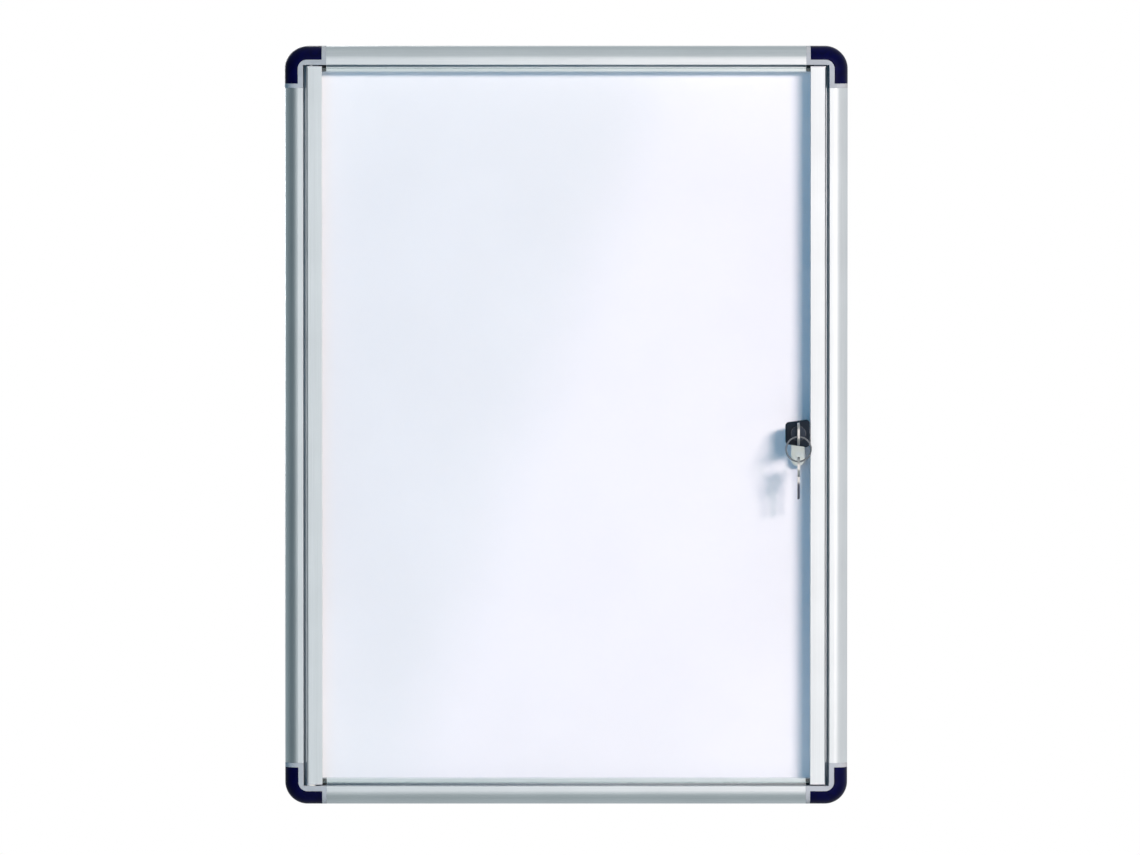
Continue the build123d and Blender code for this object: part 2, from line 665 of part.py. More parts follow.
def lock_plug():
    """The turning plug: a head, a stem with slots for the wafers, and a square shank for the cam."""
    plug = turned(
        (0, BARREL_END),
        (PLUG / 2, BARREL_END),
        (PLUG / 2, PLUG_HEAD_BACK),
        (PLUG_HEAD / 2, PLUG_HEAD_BACK),
        (PLUG_HEAD / 2, PLUG_FRONT),
        (0, PLUG_FRONT),
    )
    shank_end = CAM_BACK + CAM_GAP / 2
    plug += plate(Rectangle(SHANK_ACROSS, SHANK_ACROSS), shank_end, BARREL_END)
    plug -= keyway()
    plug -= rod(CAM_SCREW + 2 * LOCK_FIT, shank_end - PAST, KEYWAY_END - CAM_SCREW_END_ROOM / 2)
    slot = Rectangle(WAFER_WIDTH + 2 * WAFER_CLEARANCE, PLUG + PAST)
    half_slot = WAFER_THICK / 2 + WAFER_CLEARANCE
    for index in range(WAFER_COUNT):
        middle = wafer_forward(index)
        plug -= plate(slot, middle - half_slot, middle + half_slot)
    return plug


def lock_wafers():
    """The wafers, flush with the plug while the key is in."""
    window = rectangle(
        -KEY_THICK / 2 - KEY_FIT - WAFER_CLEARANCE,
        KEY_THICK / 2 + KEY_FIT + WAFER_CLEARANCE,
        -BLADE_WIDTH / 2 - KEY_FIT - WAFER_LIFT,
        BLADE_WIDTH / 2 + KEY_FIT,
    )
    face = (Rectangle(WAFER_WIDTH, PLUG) & Circle(PLUG / 2 - WAFER_CLEARANCE)) - window
    wafers = []
    for index in range(WAFER_COUNT):
        middle = wafer_forward(index)
        wafers.append(at_lock(plate(face, middle - WAFER_THICK / 2, middle + WAFER_THICK / 2)))
    return wafers


def lock_cam():
    """The cam on the shank, pointing down while unlocked."""
    end = CAM_REACH - CAM_WIDTH / 2
    arm = rectangle(-CAM_WIDTH / 2, CAM_WIDTH / 2, -end, 0) + Pos(0, -end) * Circle(CAM_WIDTH / 2)
    hole = Rectangle(SHANK_ACROSS + 2 * LOCK_FIT, SHANK_ACROSS + 2 * LOCK_FIT)
    return plate(arm + Circle(CAM_HUB / 2) - hole, CAM_BACK, CAM_FRONT)


def cam_screw():
    """A pan head screw that holds the cam on the shank."""
    head = CAM_SCREW_HEAD / 2
    head_back = CAM_BACK - CAM_SCREW_HEAD_THICK
    screw = turned(
        (0, head_back),
        (head - CAM_SCREW_HEAD_CHAMFER, head_back),
        (head, head_back + CAM_SCREW_HEAD_CHAMFER),
        (head, CAM_BACK),
        (CAM_SCREW / 2, CAM_BACK),
        (CAM_SCREW / 2, KEYWAY_END - CAM_SCREW_END_ROOM),
        (0, KEYWAY_END - CAM_SCREW_END_ROOM),
    )
    cross = Rectangle(head, CROSS_RECESS_WIDTH) + Rectangle(CROSS_RECESS_WIDTH, head)
    return screw - plate(cross, head_back - PAST, head_back + CROSS_RECESS_DEPTH)


def key_outline():
    """A key from the side: the blade runs back from the shoulder at the origin, the bow forward."""
    half = BLADE_WIDTH / 2
    blade = polygon(
        (0, -half),
        (0, half),
        (-BLADE_LENGTH + BLADE_TIP, half),
        (-BLADE_LENGTH, 0),
        (-BLADE_LENGTH + BLADE_TIP, -half),
    )
    for index in range(WAFER_COUNT):
        middle = wafer_forward(index) - SHOULDER_FORWARD
        notch_half = BITTING_WIDTH / 2
        blade -= polygon(
            (middle - notch_half, half + PAST),
            (middle - notch_half, half),
            (middle, half - BITTING_DEPTH),
            (middle + notch_half, half),
            (middle + notch_half, half + PAST),
        )
    neck = rectangle(0, NECK_LENGTH + BOW_RADIUS, -NECK_WIDTH / 2, NECK_WIDTH / 2)
    bow = RectangleRounded(BOW_LENGTH, BOW_WIDTH, BOW_RADIUS)
    bow = Pos(NECK_LENGTH + BOW_LENGTH / 2, 0) * bow
    return blade + neck + bow - Pos(BOW_HOLE_ALONG, 0) * Circle(BOW_HOLE / 2)


def flat_key():
    """A flat key with its shoulder at the origin and its bow towards the front."""
    side_plane = Plane(origin=(-KEY_THICK / 2, 0, 0), x_dir=(0, -1, 0), z_dir=(1, 0, 0))
    key = extrude(side_plane * mirror(key_outline(), about=Plane.XZ), KEY_THICK)
    groove = rectangle(
        KEY_THICK / 2 - BLADE_GROOVE_DEPTH,
        KEY_THICK / 2 + PAST,
        -BLADE_GROOVE_WIDTH / 2,
        BLADE_GROOVE_WIDTH / 2,
    )
    return key - plate(groove, -BLADE_LENGTH - PAST, 0)


def lock_key():
    return Pos(LOCK_X, -SHOULDER_FORWARD, LOCK_Z) * flat_key()


def spare_key():
    """The spare hangs from the bottom of the ring, with its blade down."""
    hanging = Rot(-90, 0, 0) * flat_key()
    return Pos(LOCK_X, -RING_FORWARD, SPARE_HOLE_Z - BOW_HOLE_ALONG) * hanging


def ring_point(angle, level):
    """A place on the middle of the ring's wire, by its angle from x and its level forward."""
    turn = radians(angle)
    return Vector(RING_RADIUS * cos(turn), -level, RING_RADIUS * sin(turn))


def ring_heading(angle):
    turn = radians(angle)
    return Vector(-sin(turn), 0, cos(turn))


def ring_turn(start, end, level):
    """One turn of the ring, as two arcs."""
    middle = (start + end) / 2
    first = ring_point((start + middle) / 2, level)
    second = ring_point((middle + end) / 2, level)
    return [
        ThreePointArc(ring_point(start, level), first, ring_point(middle, level)),
        ThreePointArc(ring_point(middle, level), second, ring_point(end, level)),
    ]


def ring_jog(start, end):
    """The two tangent arcs that carry the wire from the back turn to the front one."""
    first = ring_point(start, -RING_LEVEL)
    last = ring_point(end, RING_LEVEL)
    out = ring_heading(start)
    into = ring_heading(end)
    # Both arcs have legs of one length, which makes them meet along one line
    chord = last - first
    both = out + into
    a = both.dot(both) - 4
    b = -2 * chord.dot(both)
    c = chord.dot(chord)
    leg = (-b - sqrt(b * b - 4 * a * c)) / (2 * a)
    if leg < 0:
        leg = (-b + sqrt(b * b - 4 * a * c)) / (2 * a)
    meet = (first + out * leg + last - into * leg) * 0.5
    return [
        TangentArc(first, meet, tangent=out),
        TangentArc(last, meet, tangent=into * -1),
    ]


def least_gap(path):
    """The least clear distance from the ring's wire to itself, measured on points along it."""
    points = [path.position_at(step / GAP_SAMPLES) for step in range(GAP_SAMPLES + 1)]
    near = int(GAP_SKIP_WIRES * RING_WIRE / path.length * GAP_SAMPLES) + 1
    gaps = [
        (points[i] - points[j]).length - RING_WIRE
        for i in range(len(points))
        for j in range(i - near)
    ]
    return min(gaps)


def key_ring():
    """Two turns of one wire that change level at the right, away from both keys."""
    jog = RING_JOG_HALF_ANGLE
    edges = ring_turn(jog, 360 - jog, -RING_LEVEL)
    edges += ring_jog(360 - jog, 360 + jog)
    edges += ring_turn(360 + jog, 720 - jog, RING_LEVEL)
    path = Wire(edges)
    print("split ring: least gap to itself", round(least_gap(path), 3), "mm")
    start = Plane(origin=ring_point(jog, -RING_LEVEL), z_dir=ring_heading(jog))
    ring = sweep(start * Circle(RING_WIRE / 2), path=path)
    return Pos(LOCK_X, -RING_FORWARD, RING_Z) * ring


def corner_nodes():
    """The brackets and caps, by name."""
    nodes = {}
    for side_z, height in ((1, "top"), (-1, "bottom")):
        for side_x, side in ((-1, "left"), (1, "right")):
            corner = height + "_" + side
            bracket = corner_bracket(with_pivot=side_x < 0)
            nodes["corner_bracket_" + corner] = place_corner(bracket, side_x, side_z)
            nodes["corner_cap_" + corner] = place_corner(corner_cap(), side_x, side_z)
    return nodes


def frame_nodes():
    """The other pieces that are fixed to the wall, by name."""
    nodes = frame_rails()
    nodes["rear_sheet"] = panel_layer(PANEL_BACK, CORE_BACK)
    nodes["core_board"] = panel_layer(CORE_BACK, FACE_SHEET_BACK)
    nodes["face_sheet"] = panel_layer(FACE_SHEET_BACK, BOARD_FRONT)
    nodes["tenon_screws"] = Compound([Pos(x, 0, z) * tenon_screw() for x, z in tenon_screw_places()])
    nodes["door_bumpers"] = Compound(door_bumpers())
    nodes["thrust_washer"] = thrust_washer()
    return nodes


def door_nodes():
    """The pieces that swing with the door, by name."""
    nodes = {"door_pane": door_pane()}
    nodes["hinge_stile"] = hinge_stile()
    nodes["lock_stile"] = mirror(hinge_stile(), about=Plane.YZ)
    nodes["hinge_gasket"] = stile_gasket()
    nodes["lock_gasket"] = mirror(stile_gasket(), about=Plane.YZ)
    nodes["hinge_plug_top"] = stile_plug(with_pin=True)
    nodes["hinge_plug_bottom"] = mirror(stile_plug(with_pin=True), about=Plane.XY)
    nodes["lock_stile_plug_top"] = mirror(stile_plug(with_pin=False), about=Plane.YZ)
    nodes["lock_stile_plug_bottom"] = mirror(nodes["lock_stile_plug_top"], about=Plane.XY)
    nodes["pivot_pin_top"] = pivot_pin()
    nodes["pivot_pin_bottom"] = mirror(pivot_pin(), about=Plane.XY)
    nodes["lock_body"] = at_lock(lock_body())
    nodes["lock_seat"] = at_lock(lock_seat())
    nodes["lock_washer"] = at_lock(lock_washer())
    nodes["lock_nut"] = at_lock(lock_nut())
    return nodes


def lock_nodes():
    """The pieces that turn in the lock, the keys and the ring, by name."""
    return {
        "lock_plug": at_lock(lock_plug()),
        "lock_cam": at_lock(lock_cam()),
        "cam_screw": at_lock(cam_screw()),
        "lock_wafers": Compound(lock_wafers()),
        "lock_key": lock_key(),
        "key_ring": key_ring(),
        "spare_key": spare_key(),
    }


os.makedirs("parts", exist_ok=True)
for name, shape in {**corner_nodes(), **frame_nodes(), **door_nodes(), **lock_nodes()}.items():
    export_step(shape, "parts/" + name + ".step")
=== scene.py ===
# Looks of a lockable wall notice case: finishes for its rails, corners, board, door, lock and keys, the
# thread behind the lock's nut, grey strips of painted shade in the gap round the door, and a plain studio
# stage. Metres, in the packed model's own frame: the case hangs on the wall plane y = 0, x runs right, z up,
# and the door faces -y.
import math

import bmesh
import bpy
from bpy.props import FloatProperty, FloatVectorProperty, IntProperty, PointerProperty
from bpy.types import Operator, Panel, PropertyGroup
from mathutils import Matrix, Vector


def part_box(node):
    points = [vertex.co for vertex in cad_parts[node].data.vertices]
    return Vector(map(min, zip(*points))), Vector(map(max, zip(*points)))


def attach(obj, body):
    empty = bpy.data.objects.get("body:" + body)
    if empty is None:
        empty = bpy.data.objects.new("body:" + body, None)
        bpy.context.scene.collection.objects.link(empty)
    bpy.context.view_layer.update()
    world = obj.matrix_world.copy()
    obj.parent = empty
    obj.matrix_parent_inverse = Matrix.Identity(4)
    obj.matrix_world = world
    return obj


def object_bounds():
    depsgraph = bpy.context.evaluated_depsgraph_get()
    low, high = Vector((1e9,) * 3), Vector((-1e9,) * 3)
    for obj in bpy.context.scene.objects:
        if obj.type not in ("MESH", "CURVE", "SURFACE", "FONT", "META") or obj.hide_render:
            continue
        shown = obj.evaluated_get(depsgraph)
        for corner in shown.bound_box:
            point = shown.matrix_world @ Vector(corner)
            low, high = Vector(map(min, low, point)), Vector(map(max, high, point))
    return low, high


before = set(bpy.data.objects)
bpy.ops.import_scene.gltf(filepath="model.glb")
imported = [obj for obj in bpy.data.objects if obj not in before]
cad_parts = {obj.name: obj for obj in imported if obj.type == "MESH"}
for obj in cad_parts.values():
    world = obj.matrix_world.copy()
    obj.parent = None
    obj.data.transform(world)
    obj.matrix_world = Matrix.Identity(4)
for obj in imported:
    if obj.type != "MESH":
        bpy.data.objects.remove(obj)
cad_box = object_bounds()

bl_info = {
    "name": "Notice Case Looks",
    "version": (1, 0, 0),
    "blender": (4, 5, 0),
    "location": "3D View > Sidebar > Notice Case",
    "description": "Finishes and stage for a lockable wall notice case",
    "category": "Object",
}

CORNERS = ("top_left", "top_right", "bottom_left", "bottom_right")
# Runs of the grey strips that paint shade in the gap round the door: name, side of the case, and whether it
# stands upright
GAP_SHADE_RUNS = (("left", -1, True), ("right", 1, True), ("bottom", -1, False), ("top", 1, False))
WHITE = (1.0, 1.0, 1.0)
EVEN = (1.0, 1.0, 1.0)
# Tones of the flags, each a place from 0 to 1 and a colour: in front and behind they run from left to right,
# and above and below the front from low to high
FRONT_TONES = (
    (0.00, (0.12, 0.16, 0.18)),
    (0.07, (0.06, 0.10, 0.12)),
    (0.27, (0.06, 0.10, 0.12)),
    (0.36, (0.22, 0.28, 0.30)),
    (0.45, (1.20, 1.28, 1.31)),
    (0.60, (1.28, 1.32, 1.33)),
    (0.90, (0.82, 0.82, 0.82)),
    (1.00, (0.78, 0.78, 0.78)),
)
STEEP_TONES = (
    (0.00, (0.24, 0.29, 0.30)),
    (0.40, (0.26, 0.31, 0.32)),
    (0.60, (0.34, 0.39, 0.41)),
    (1.00, (0.50, 0.54, 0.55)),
)
BACK_TONES = (
    (0.00, (0.24, 0.31, 0.33)),
    (0.30, (0.36, 0.42, 0.44)),
    (0.60, (0.52, 0.56, 0.57)),
    (1.00, (0.80, 0.81, 0.82)),
)


def colour_property(name, description, default):
    """A colour that a user may change."""
    return FloatVectorProperty(
        name=name, description=description, default=default, subtype="COLOR", size=3, min=0.0, max=1.0
    )


def length_property(name, description, default):
    """A size in metres that a user may change."""
    return FloatProperty(
        name=name, description=description, default=default, unit="LENGTH", min=0.0, precision=5
    )


def number_property(name, description, default, unit="NONE"):
    """A number that a user may change."""
    return FloatProperty(name=name, description=description, default=default, unit=unit, precision=4)


def direction_property(name, description, default):
    """A direction from the case that a user may change."""
    return FloatVectorProperty(name=name, description=description, default=default, subtype="XYZ", size=3)


def power_property(name, description, default):
    """A lamp's power in watts that a user may change."""
    return FloatProperty(name=name, description=description, default=default, unit="POWER", min=0.0)


class NoticeCaseFinishes(PropertyGroup):
    """Colours and grain sizes of the case."""

    aluminium: colour_property("Aluminium", "Anodised rails and stiles", (0.79, 0.82, 0.845))
    bracket: colour_property("Brackets", "Grey moulded corner brackets", (0.40, 0.435, 0.465))
    cap: colour_property("Caps", "Dark blue corner caps", (0.0005, 0.0007, 0.026))
    board: colour_property("Board", "White lacquered board", (0.91, 0.895, 0.945))
    fibre: colour_property("Core", "Pressed fibre behind the board", (0.36, 0.25, 0.15))
    zinc: colour_property("Zinc", "Galvanised sheet and plated fittings", (0.62, 0.64, 0.66))
    pane: colour_property("Pane", "Tint of the clear pane", (0.985, 0.996, 0.993))
    pane_edge: colour_property("Pane edge", "Tint of the pane's cut edges", (0.55, 0.78, 0.74))
    gasket: colour_property("Gasket", "Soft gaskets round the pane", (0.52, 0.55, 0.58))
    plug: colour_property("Stile plugs", "Moulded ends of the stiles", (0.60, 0.61, 0.63))
    nylon: colour_property("Nylon", "Thrust washer", (0.80, 0.79, 0.74))
    # Painted shade: the black door bumpers stand at the door's corners, where the case has only shade; the
    # lock seat is black rubber.
    rubber_and_shade: colour_property("Rubber_and_painted_shade", "Door bumpers and lock seat", (0.018, 0.018, 0.02))
    lock: colour_property("Lock body", "Black die casting", (0.004, 0.009, 0.017))
    nickel: colour_property("Nickel", "Keys", (0.62, 0.61, 0.60))
    # Painted reflection: the dark colour of the spare key's blade tip stands for the dark surroundings it
    # mirrors.
    painted_blade_reflection: colour_property("Painted_blade_reflection", "Lock graphite on the spare key's blade", (0.035, 0.04, 0.065))
    wire: colour_property("Wire", "Spring steel of the split ring", (0.24, 0.25, 0.27))
    gunmetal: colour_property("Plug", "Dark plated face of the lock's plug", (0.033, 0.042, 0.058))
    brass: colour_property("Brass", "Wafers in the lock", (0.72, 0.52, 0.20))
    # Painted shade: grey strips stand in the gap round the door, where the case has only shade.
    seal: colour_property("Seal", "Soft grey seal in the gap round the door", (0.40, 0.43, 0.45))
    bright_edge: colour_property("Bright edges", "Worn edges of the rails and stiles", (0.88, 0.89, 0.90))
    cap_edge: colour_property("Cap edges", "Rubbed edges of the caps", (0.008, 0.012, 0.06))
    speck: colour_property("Specks", "Fine specks in the board's lacquer", (0.45, 0.46, 0.48))
    bloom: colour_property("Zinc bloom", "Dull bloom on the rear sheet", (0.60, 0.62, 0.63))
    zinc_edge: colour_property("Zinc edges", "Worn edges of plated fittings", (0.80, 0.80, 0.80))
    bare_casting: colour_property("Bare casting", "Metal that shows on the lock's edges", (0.35, 0.35, 0.36))
    nickel_edge: colour_property("Nickel edges", "Worn edges of the keys", (0.84, 0.82, 0.77))
    pane_gloss: colour_property("Pane gloss", "Tint of what the pane mirrors", (0.96, 0.97, 0.97))
    drawn_line: length_property("Drawn lines", "Width of the lines along the extrusions", 0.0007)
    moulded_grain: length_property("Moulded grain", "Grain of the mouldings", 0.0006)
    orange_peel: length_property("Orange peel", "Ripples in the board's lacquer", 0.0016)
    spangle: length_property("Spangle", "Zinc crystals on the rear sheet", 0.009)
    # Painted dark reflection on the spare key's blade: how far up it reaches, and its soft, wandering upper
    # edge.
    painted_reflection_reach: length_property("Darkened blade", "Spare key's tip with graphite on it", 0.017)
    painted_reflection_edge: length_property("Darkening edge", "Soft upper edge of the graphite", 0.003)
    painted_reflection_wander: length_property("Darkening wander", "Ups and downs of that edge", 0.002)
    edge_wear: length_property("Edge wear", "Width of the worn edges", 0.0005)


class NoticeCaseThread(PropertyGroup):
    """Sizes of the thread on the lock's barrel."""

    barrel: length_property("Barrel", "Diameter of the barrel", 0.015)
    pitch: length_property("Pitch", "Distance between the turns", 0.0009)
    height: length_property("Height", "Height of the thread over the barrel", 0.00035)
    flank: number_property("Flank", "Half of the ridge's foot, as a share of the pitch", 0.42)
    margin: length_property("Margin", "Plain barrel at each end of the thread", 0.0005)
    steps: IntProperty(name="Steps", description="Steps in a turn", default=48, min=12)


class NoticeCaseGapShade(PropertyGroup):
    """Sizes of the grey strips on the ledge round the door, which paint the shade in the gap."""

    inset: length_property("Inset", "Outer side of the case to the seal", 0.0167)
    width: length_property("Width", "Width of the seal", 0.0018)
    height: length_property("Height", "Height of the seal over the ledge", 0.0013)
    foot: number_property("Foot", "Straight part below the bulb, as a share of the height", 0.4)
    end: length_property("End", "Side of the case to the ends of the upper and lower gap_shade_strips", 0.0373)
    steps: IntProperty(name="Steps", description="Steps round the bulb", default=14, min=6)


class NoticeCaseStage(PropertyGroup):
    """Camera, light and floor."""

    camera_distance: length_property("Camera distance", "Camera to the middle of the frame's depth", 12.0)
    camera_rise: number_property("Camera rise", "Look down on the case", 0.045, "ROTATION")
    frame_depth: length_property("Frame depth", "Plane of the outline, forward from the wall", 0.023)
    view_width: length_property("View width", "Width that the picture takes in at the frame", 1.0134)
    view_right: length_property("View right", "Middle of the picture, right of the case's middle", 0.0034)
    view_below: length_property("View below", "Middle of the picture, below the case's middle", 0.00195)
    key_from: direction_property("Key from", "Main light, from the case", (0.55, -1.0, 0.41))
    key_distance: length_property("Key distance", "Main light to the case", 5.0)
    key_width: length_property("Key width", "Width of the main light", 1.9)
    key_height: length_property("Key height", "Height of the main light", 0.75)
    key_power: power_property("Key power", "Main light", 264.0)
    key_colour: colour_property("Key colour", "Colour of the main light", (1.0, 0.84, 0.74))
    slant_power: power_property("Slant power", "Light that falls beyond a slanting edge", 115.0)
    slant_colour: colour_property("Slant colour", "Colour of that light", (1.0, 0.66, 0.82))
    slant_place: number_property("Slant place", "Edge, right of the middle", -0.04, "LENGTH")
    slant_lean: number_property("Slant lean", "Edge's run to the right for its rise", 0.37)
    slant_dim: number_property("Slant dim", "Angle from the edge to no light", -0.008, "ROTATION")
    slant_full: number_property("Slant full", "Angle from the edge to full light", 0.010, "ROTATION")
    card_distance: length_property("Card distance", "Pale card to the wall plane", 1.5)
    card_left: length_property("Card left", "Left end of the card, right of the middle", 0.225)
    card_right: length_property("Card right", "Right end of the card", 1.05)
    card_top: length_property("Card top", "Upper end of the card", 0.95)
    card_below: length_property("Card below", "Lower end of the card, below the middle", 0.65)
    card_fade: length_property("Card fade", "Soft upper and lower ends of the card", 0.3)
    card_fade_left: length_property("Card fade left", "Soft left end of the card", 0.12)
    card_fade_right: length_property("Card fade right", "Soft right end of the card", 0.6)
    card_colour: colour_property("Card colour", "Colour of the card", (1.0, 0.90, 0.87))
    card_strength: number_property("Card strength", "Brightness of the card", 2.7)
    fill_from: direction_property("Fill from", "Soft front light, from the case", (-0.25, -1.0, 0.15))
    fill_distance: length_property("Fill distance", "Soft front light to the case", 2.6)
    fill_power: power_property("Fill power", "Soft front light", 14.5)
    fill_colour: colour_property("Fill colour", "Colour of the soft front light", (0.0, 0.50, 1.0))
    back_from: direction_property("Back from", "Light behind the case, from the case", (-0.4, 1.0, 0.25))
    back_distance: length_property("Back distance", "Light behind the case to the case", 3.0)
    soft_size: length_property("Soft size", "Width and height of the front and back lights", 1.6)
    back_power: power_property("Back power", "Light behind the case", 45.0)
    top_from: direction_property("Top from", "Light from above, from the case", (0.0, 0.45, 1.0))
    top_distance: length_property("Top distance", "Light from above to the case", 2.6)
    top_width: length_property("Top width", "Width of the light from above", 2.4)
    top_depth: length_property("Top depth", "Depth of the light from above", 1.6)
    top_aim: length_property("Top aim", "Place on the floor that it points at, behind the wall plane", 0.2)
    top_power: power_property("Top power", "Light from above on the floor", 30.0)
    top_colour: colour_property("Top colour", "Colour of the light from above", (1.0, 0.93, 0.88))
    room_colour: colour_property("Room light", "Light from all round", (0.03, 0.10, 0.14))
    floor_colour: colour_property("Floor", "Pale floor", (0.80, 0.80, 0.80))
    floor_below: length_property("Floor below", "Floor below the case", 0.28)
    floor_clear: length_property("Floor clear", "Floor that shows before it fades", 0.99)
    floor_radius: length_property("Floor radius", "Floor that shows at all", 2.2)
    flags_radius: length_property("Flags radius", "Grey flags to the case", 9.0)
    lens_spot: number_property("Lens spot", "Half of the dark spot round the lens", 0.045, "ROTATION")
    lens_edge: number_property("Lens edge", "Outer end of that spot's soft edge", 0.08, "ROTATION")
    lens_tone: colour_property("Lens tone", "Colour of that spot", (0.10, 0.13, 0.14))


class Value:
    """A socket in an expression. Each operator adds a Math node."""

    def __init__(self, nodes, socket):
        self.nodes = nodes
        self.socket = socket

    def math(self, operation, first, second):
        return self.nodes.node("ShaderNodeMath", {"operation": operation}, {0: first, 1: second})

    def __add__(self, other):
        return self.math("ADD", self, other)

    def __radd__(self, other):
        return self.math("ADD", other, self)

    def __sub__(self, other):
        return self.math("SUBTRACT", self, other)

    def __rsub__(self, other):
        return self.math("SUBTRACT", other, self)

    def __mul__(self, other):
        return self.math("MULTIPLY", self, other)

    def __rmul__(self, other):
        return self.math("MULTIPLY", other, self)

    def __pow__(self, other):
        return self.math("POWER", self, other)


class Nodes:
    """A node tree that is being written."""

    def __init__(self, tree):
        self.tree = tree
        self.tree.nodes.clear()

    def feed(self, socket, value):
        """Links a value to a socket, or sets the socket's own number or colour."""
        if isinstance(value, Value):
            self.tree.links.new(value.socket, socket)
        elif socket.type == "RGBA":
            socket.default_value = tuple(value) + (1.0,)
        else:
            socket.default_value = value

    def node(self, kind, settings=None, inputs=None, output=0):
        """Adds a node: its settings first, then its sockets. Gives one of its outputs."""
        added = self.tree.nodes.new(kind)
        for name, setting in (settings or {}).items():
            if name == "stops":
                self.set_stops(added.color_ramp, setting)
            else:
                setattr(added, name, setting)
        for socket, value in (inputs or {}).items():
            self.feed(added.inputs[socket], value)
        return Value(self, added.outputs[output])

    def set_stops(self, ramp, stops):
        """Sets a colour ramp's stops, each a place and a colour."""
        while len(ramp.elements) < len(stops):
            ramp.elements.new(1.0)
        for element, (place, colour) in zip(ramp.elements, stops):
            element.position = place
            element.color = tuple(colour) + (1.0,)

    def place(self):
        """The place on the object, in metres."""
        return self.node("ShaderNodeTexCoord", output="Object")

    def axis(self, vector, name):
        return self.node("ShaderNodeSeparateXYZ", None, {0: vector}, name)

    def scaled(self, vector, factors):
        return self.node("ShaderNodeVectorMath", {"operation": "MULTIPLY"}, {0: vector, 1: factors}, "Vector")

    def dot(self, first, second):
        return self.node("ShaderNodeVectorMath", {"operation": "DOT_PRODUCT"}, {0: first, 1: second}, "Value")

    def noise(self, size, detail=3.0, roughness=0.5, squeeze=EVEN, twist=0.0):
        """Soft noise from 0 to 1, with features of that size, drawn out where squeeze is small."""
        return self.node(
            "ShaderNodeTexNoise",
            None,
            {
                "Vector": self.scaled(self.place(), squeeze),
                "Scale": 1.0 / size,
                "Detail": detail,
                "Roughness": roughness,
                "Distortion": twist,
            },
        )

    def cells(self, size, output, feature="F1"):
        """Crystal or speck cells of that size."""
        inputs = {"Vector": self.place(), "Scale": 1.0 / size}
        return self.node("ShaderNodeTexVoronoi", {"feature": feature}, inputs, output)

    def between(self, value, low, high):
        """0 below low, 1 above high and smooth between them."""
        inputs = {"Value": value, "From Min": low, "From Max": high}
        return self.node("ShaderNodeMapRange", {"interpolation_type": "SMOOTHSTEP"}, inputs)

    def blend(self, factor, first, second):
        """The first colour at 0 and the second at 1."""
        # Inputs 6 and 7 and output 2 are the node's sockets for colours
        settings = {"data_type": "RGBA", "clamp_factor": True}
        return self.node("ShaderNodeMix", settings, {0: factor, 6: first, 7: second}, 2)

    def tones(self, colour, factor, dark, light):
        """A colour times dark where the factor is 0 and times light where it is 1."""
        return self.blend(factor, shade(colour, dark), shade(colour, light))

    def ramp(self, stops, factor):
        """The colour at that place of a ramp."""
        return self.node("ShaderNodeValToRGB", {"stops": stops}, {"Fac": factor}, "Color")

    def edges(self, width):
        """1 along worn convex and concave edges, 0 on flat and gently curved faces."""
        rounded = self.node("ShaderNodeBevel", {"samples": 4}, {"Radius": width})
        flat = self.node("ShaderNodeNewGeometry", output="Normal")
        return self.between(1.0 - self.dot(rounded, flat), 0.03, 0.30)


class Finish(Nodes):
    """A material with one surface shader."""

    def __init__(self, name):
        self.material = bpy.data.materials.new(name)
        self.material.use_nodes = True
        super().__init__(self.material.node_tree)
        self.shader = self.tree.nodes.new("ShaderNodeBsdfPrincipled")
        self.output = self.tree.nodes.new("ShaderNodeOutputMaterial")
        self.solid = Value(self, self.shader.outputs[0])
        self.show(self.solid)

    def show(self, surface):
        self.tree.links.new(surface.socket, self.output.inputs["Surface"])

    def show_mixed(self, factor, first, second):
        """Shows the first surface where the factor is 0 and the second where it is 1."""
        self.show(self.node("ShaderNodeMixShader", None, {0: factor, 1: first, 2: second}))

    def clear(self, colour=WHITE):
        return self.node("ShaderNodeBsdfTransparent", None, {"Color": colour})

    def surface(self, colour, roughness, relief=None, depth=0.0, metallic=0.0, specular=0.5):
        """Sets or links the shader's sockets. The relief runs from 0 to 1, and 1 stands for the depth."""
        sockets = {
            "Base Color": colour,
            "Roughness": roughness,
            "Metallic": metallic,
            "Specular IOR Level": specular,
        }
        if relief is not None:
            heights = {"Strength": 1.0, "Distance": depth, "Height": relief}
            sockets["Normal"] = self.node("ShaderNodeBump", None, heights)
        for name, value in sockets.items():
            self.feed(self.shader.inputs[name], value)
        return self.material


def finishes():
    """The colours and grain sizes in use."""
    return bpy.context.scene.notice_case_finishes


def shade(colour, factor):
    """A colour made darker or lighter."""
    return tuple(min(1.0, part * factor) for part in colour)


def tinted(colour, tint):
    return tuple(part * share for part, share in zip(colour, tint))


def anodised_aluminium(along):
    """Satin anodised extrusion: fine drawn lines along one axis, soft clouds and bright worn edges."""
    looks = finishes()
    finish = Finish("satin_anodised_along_" + along)
    drawn_out = {"x": (0.008, 1.0, 1.0), "z": (1.0, 1.0, 0.008)}[along]
    lines = finish.noise(looks.drawn_line, detail=4.0, roughness=0.65, squeeze=drawn_out)
    broad_lines = finish.noise(7 * looks.drawn_line, detail=2.0, squeeze=drawn_out)
    grain = finish.noise(size=0.00025, detail=2.0, roughness=0.7)
    cloud = finish.noise(size=0.055)
    worn = finish.edges(looks.edge_wear)
    tone = 0.45 * lines + 0.25 * broad_lines + 0.30 * cloud
    colour = finish.tones(looks.aluminium, finish.between(tone, 0.25, 0.75), 0.90, 1.06)
    colour = finish.blend(0.6 * worn, colour, looks.bright_edge)
    roughness = 0.35 + 0.07 * grain + 0.05 * lines - 0.06 * worn
    relief = 0.55 * lines + 0.25 * broad_lines + 0.20 * grain
    return finish.surface(colour, roughness, relief, depth=0.000012, metallic=1.0)


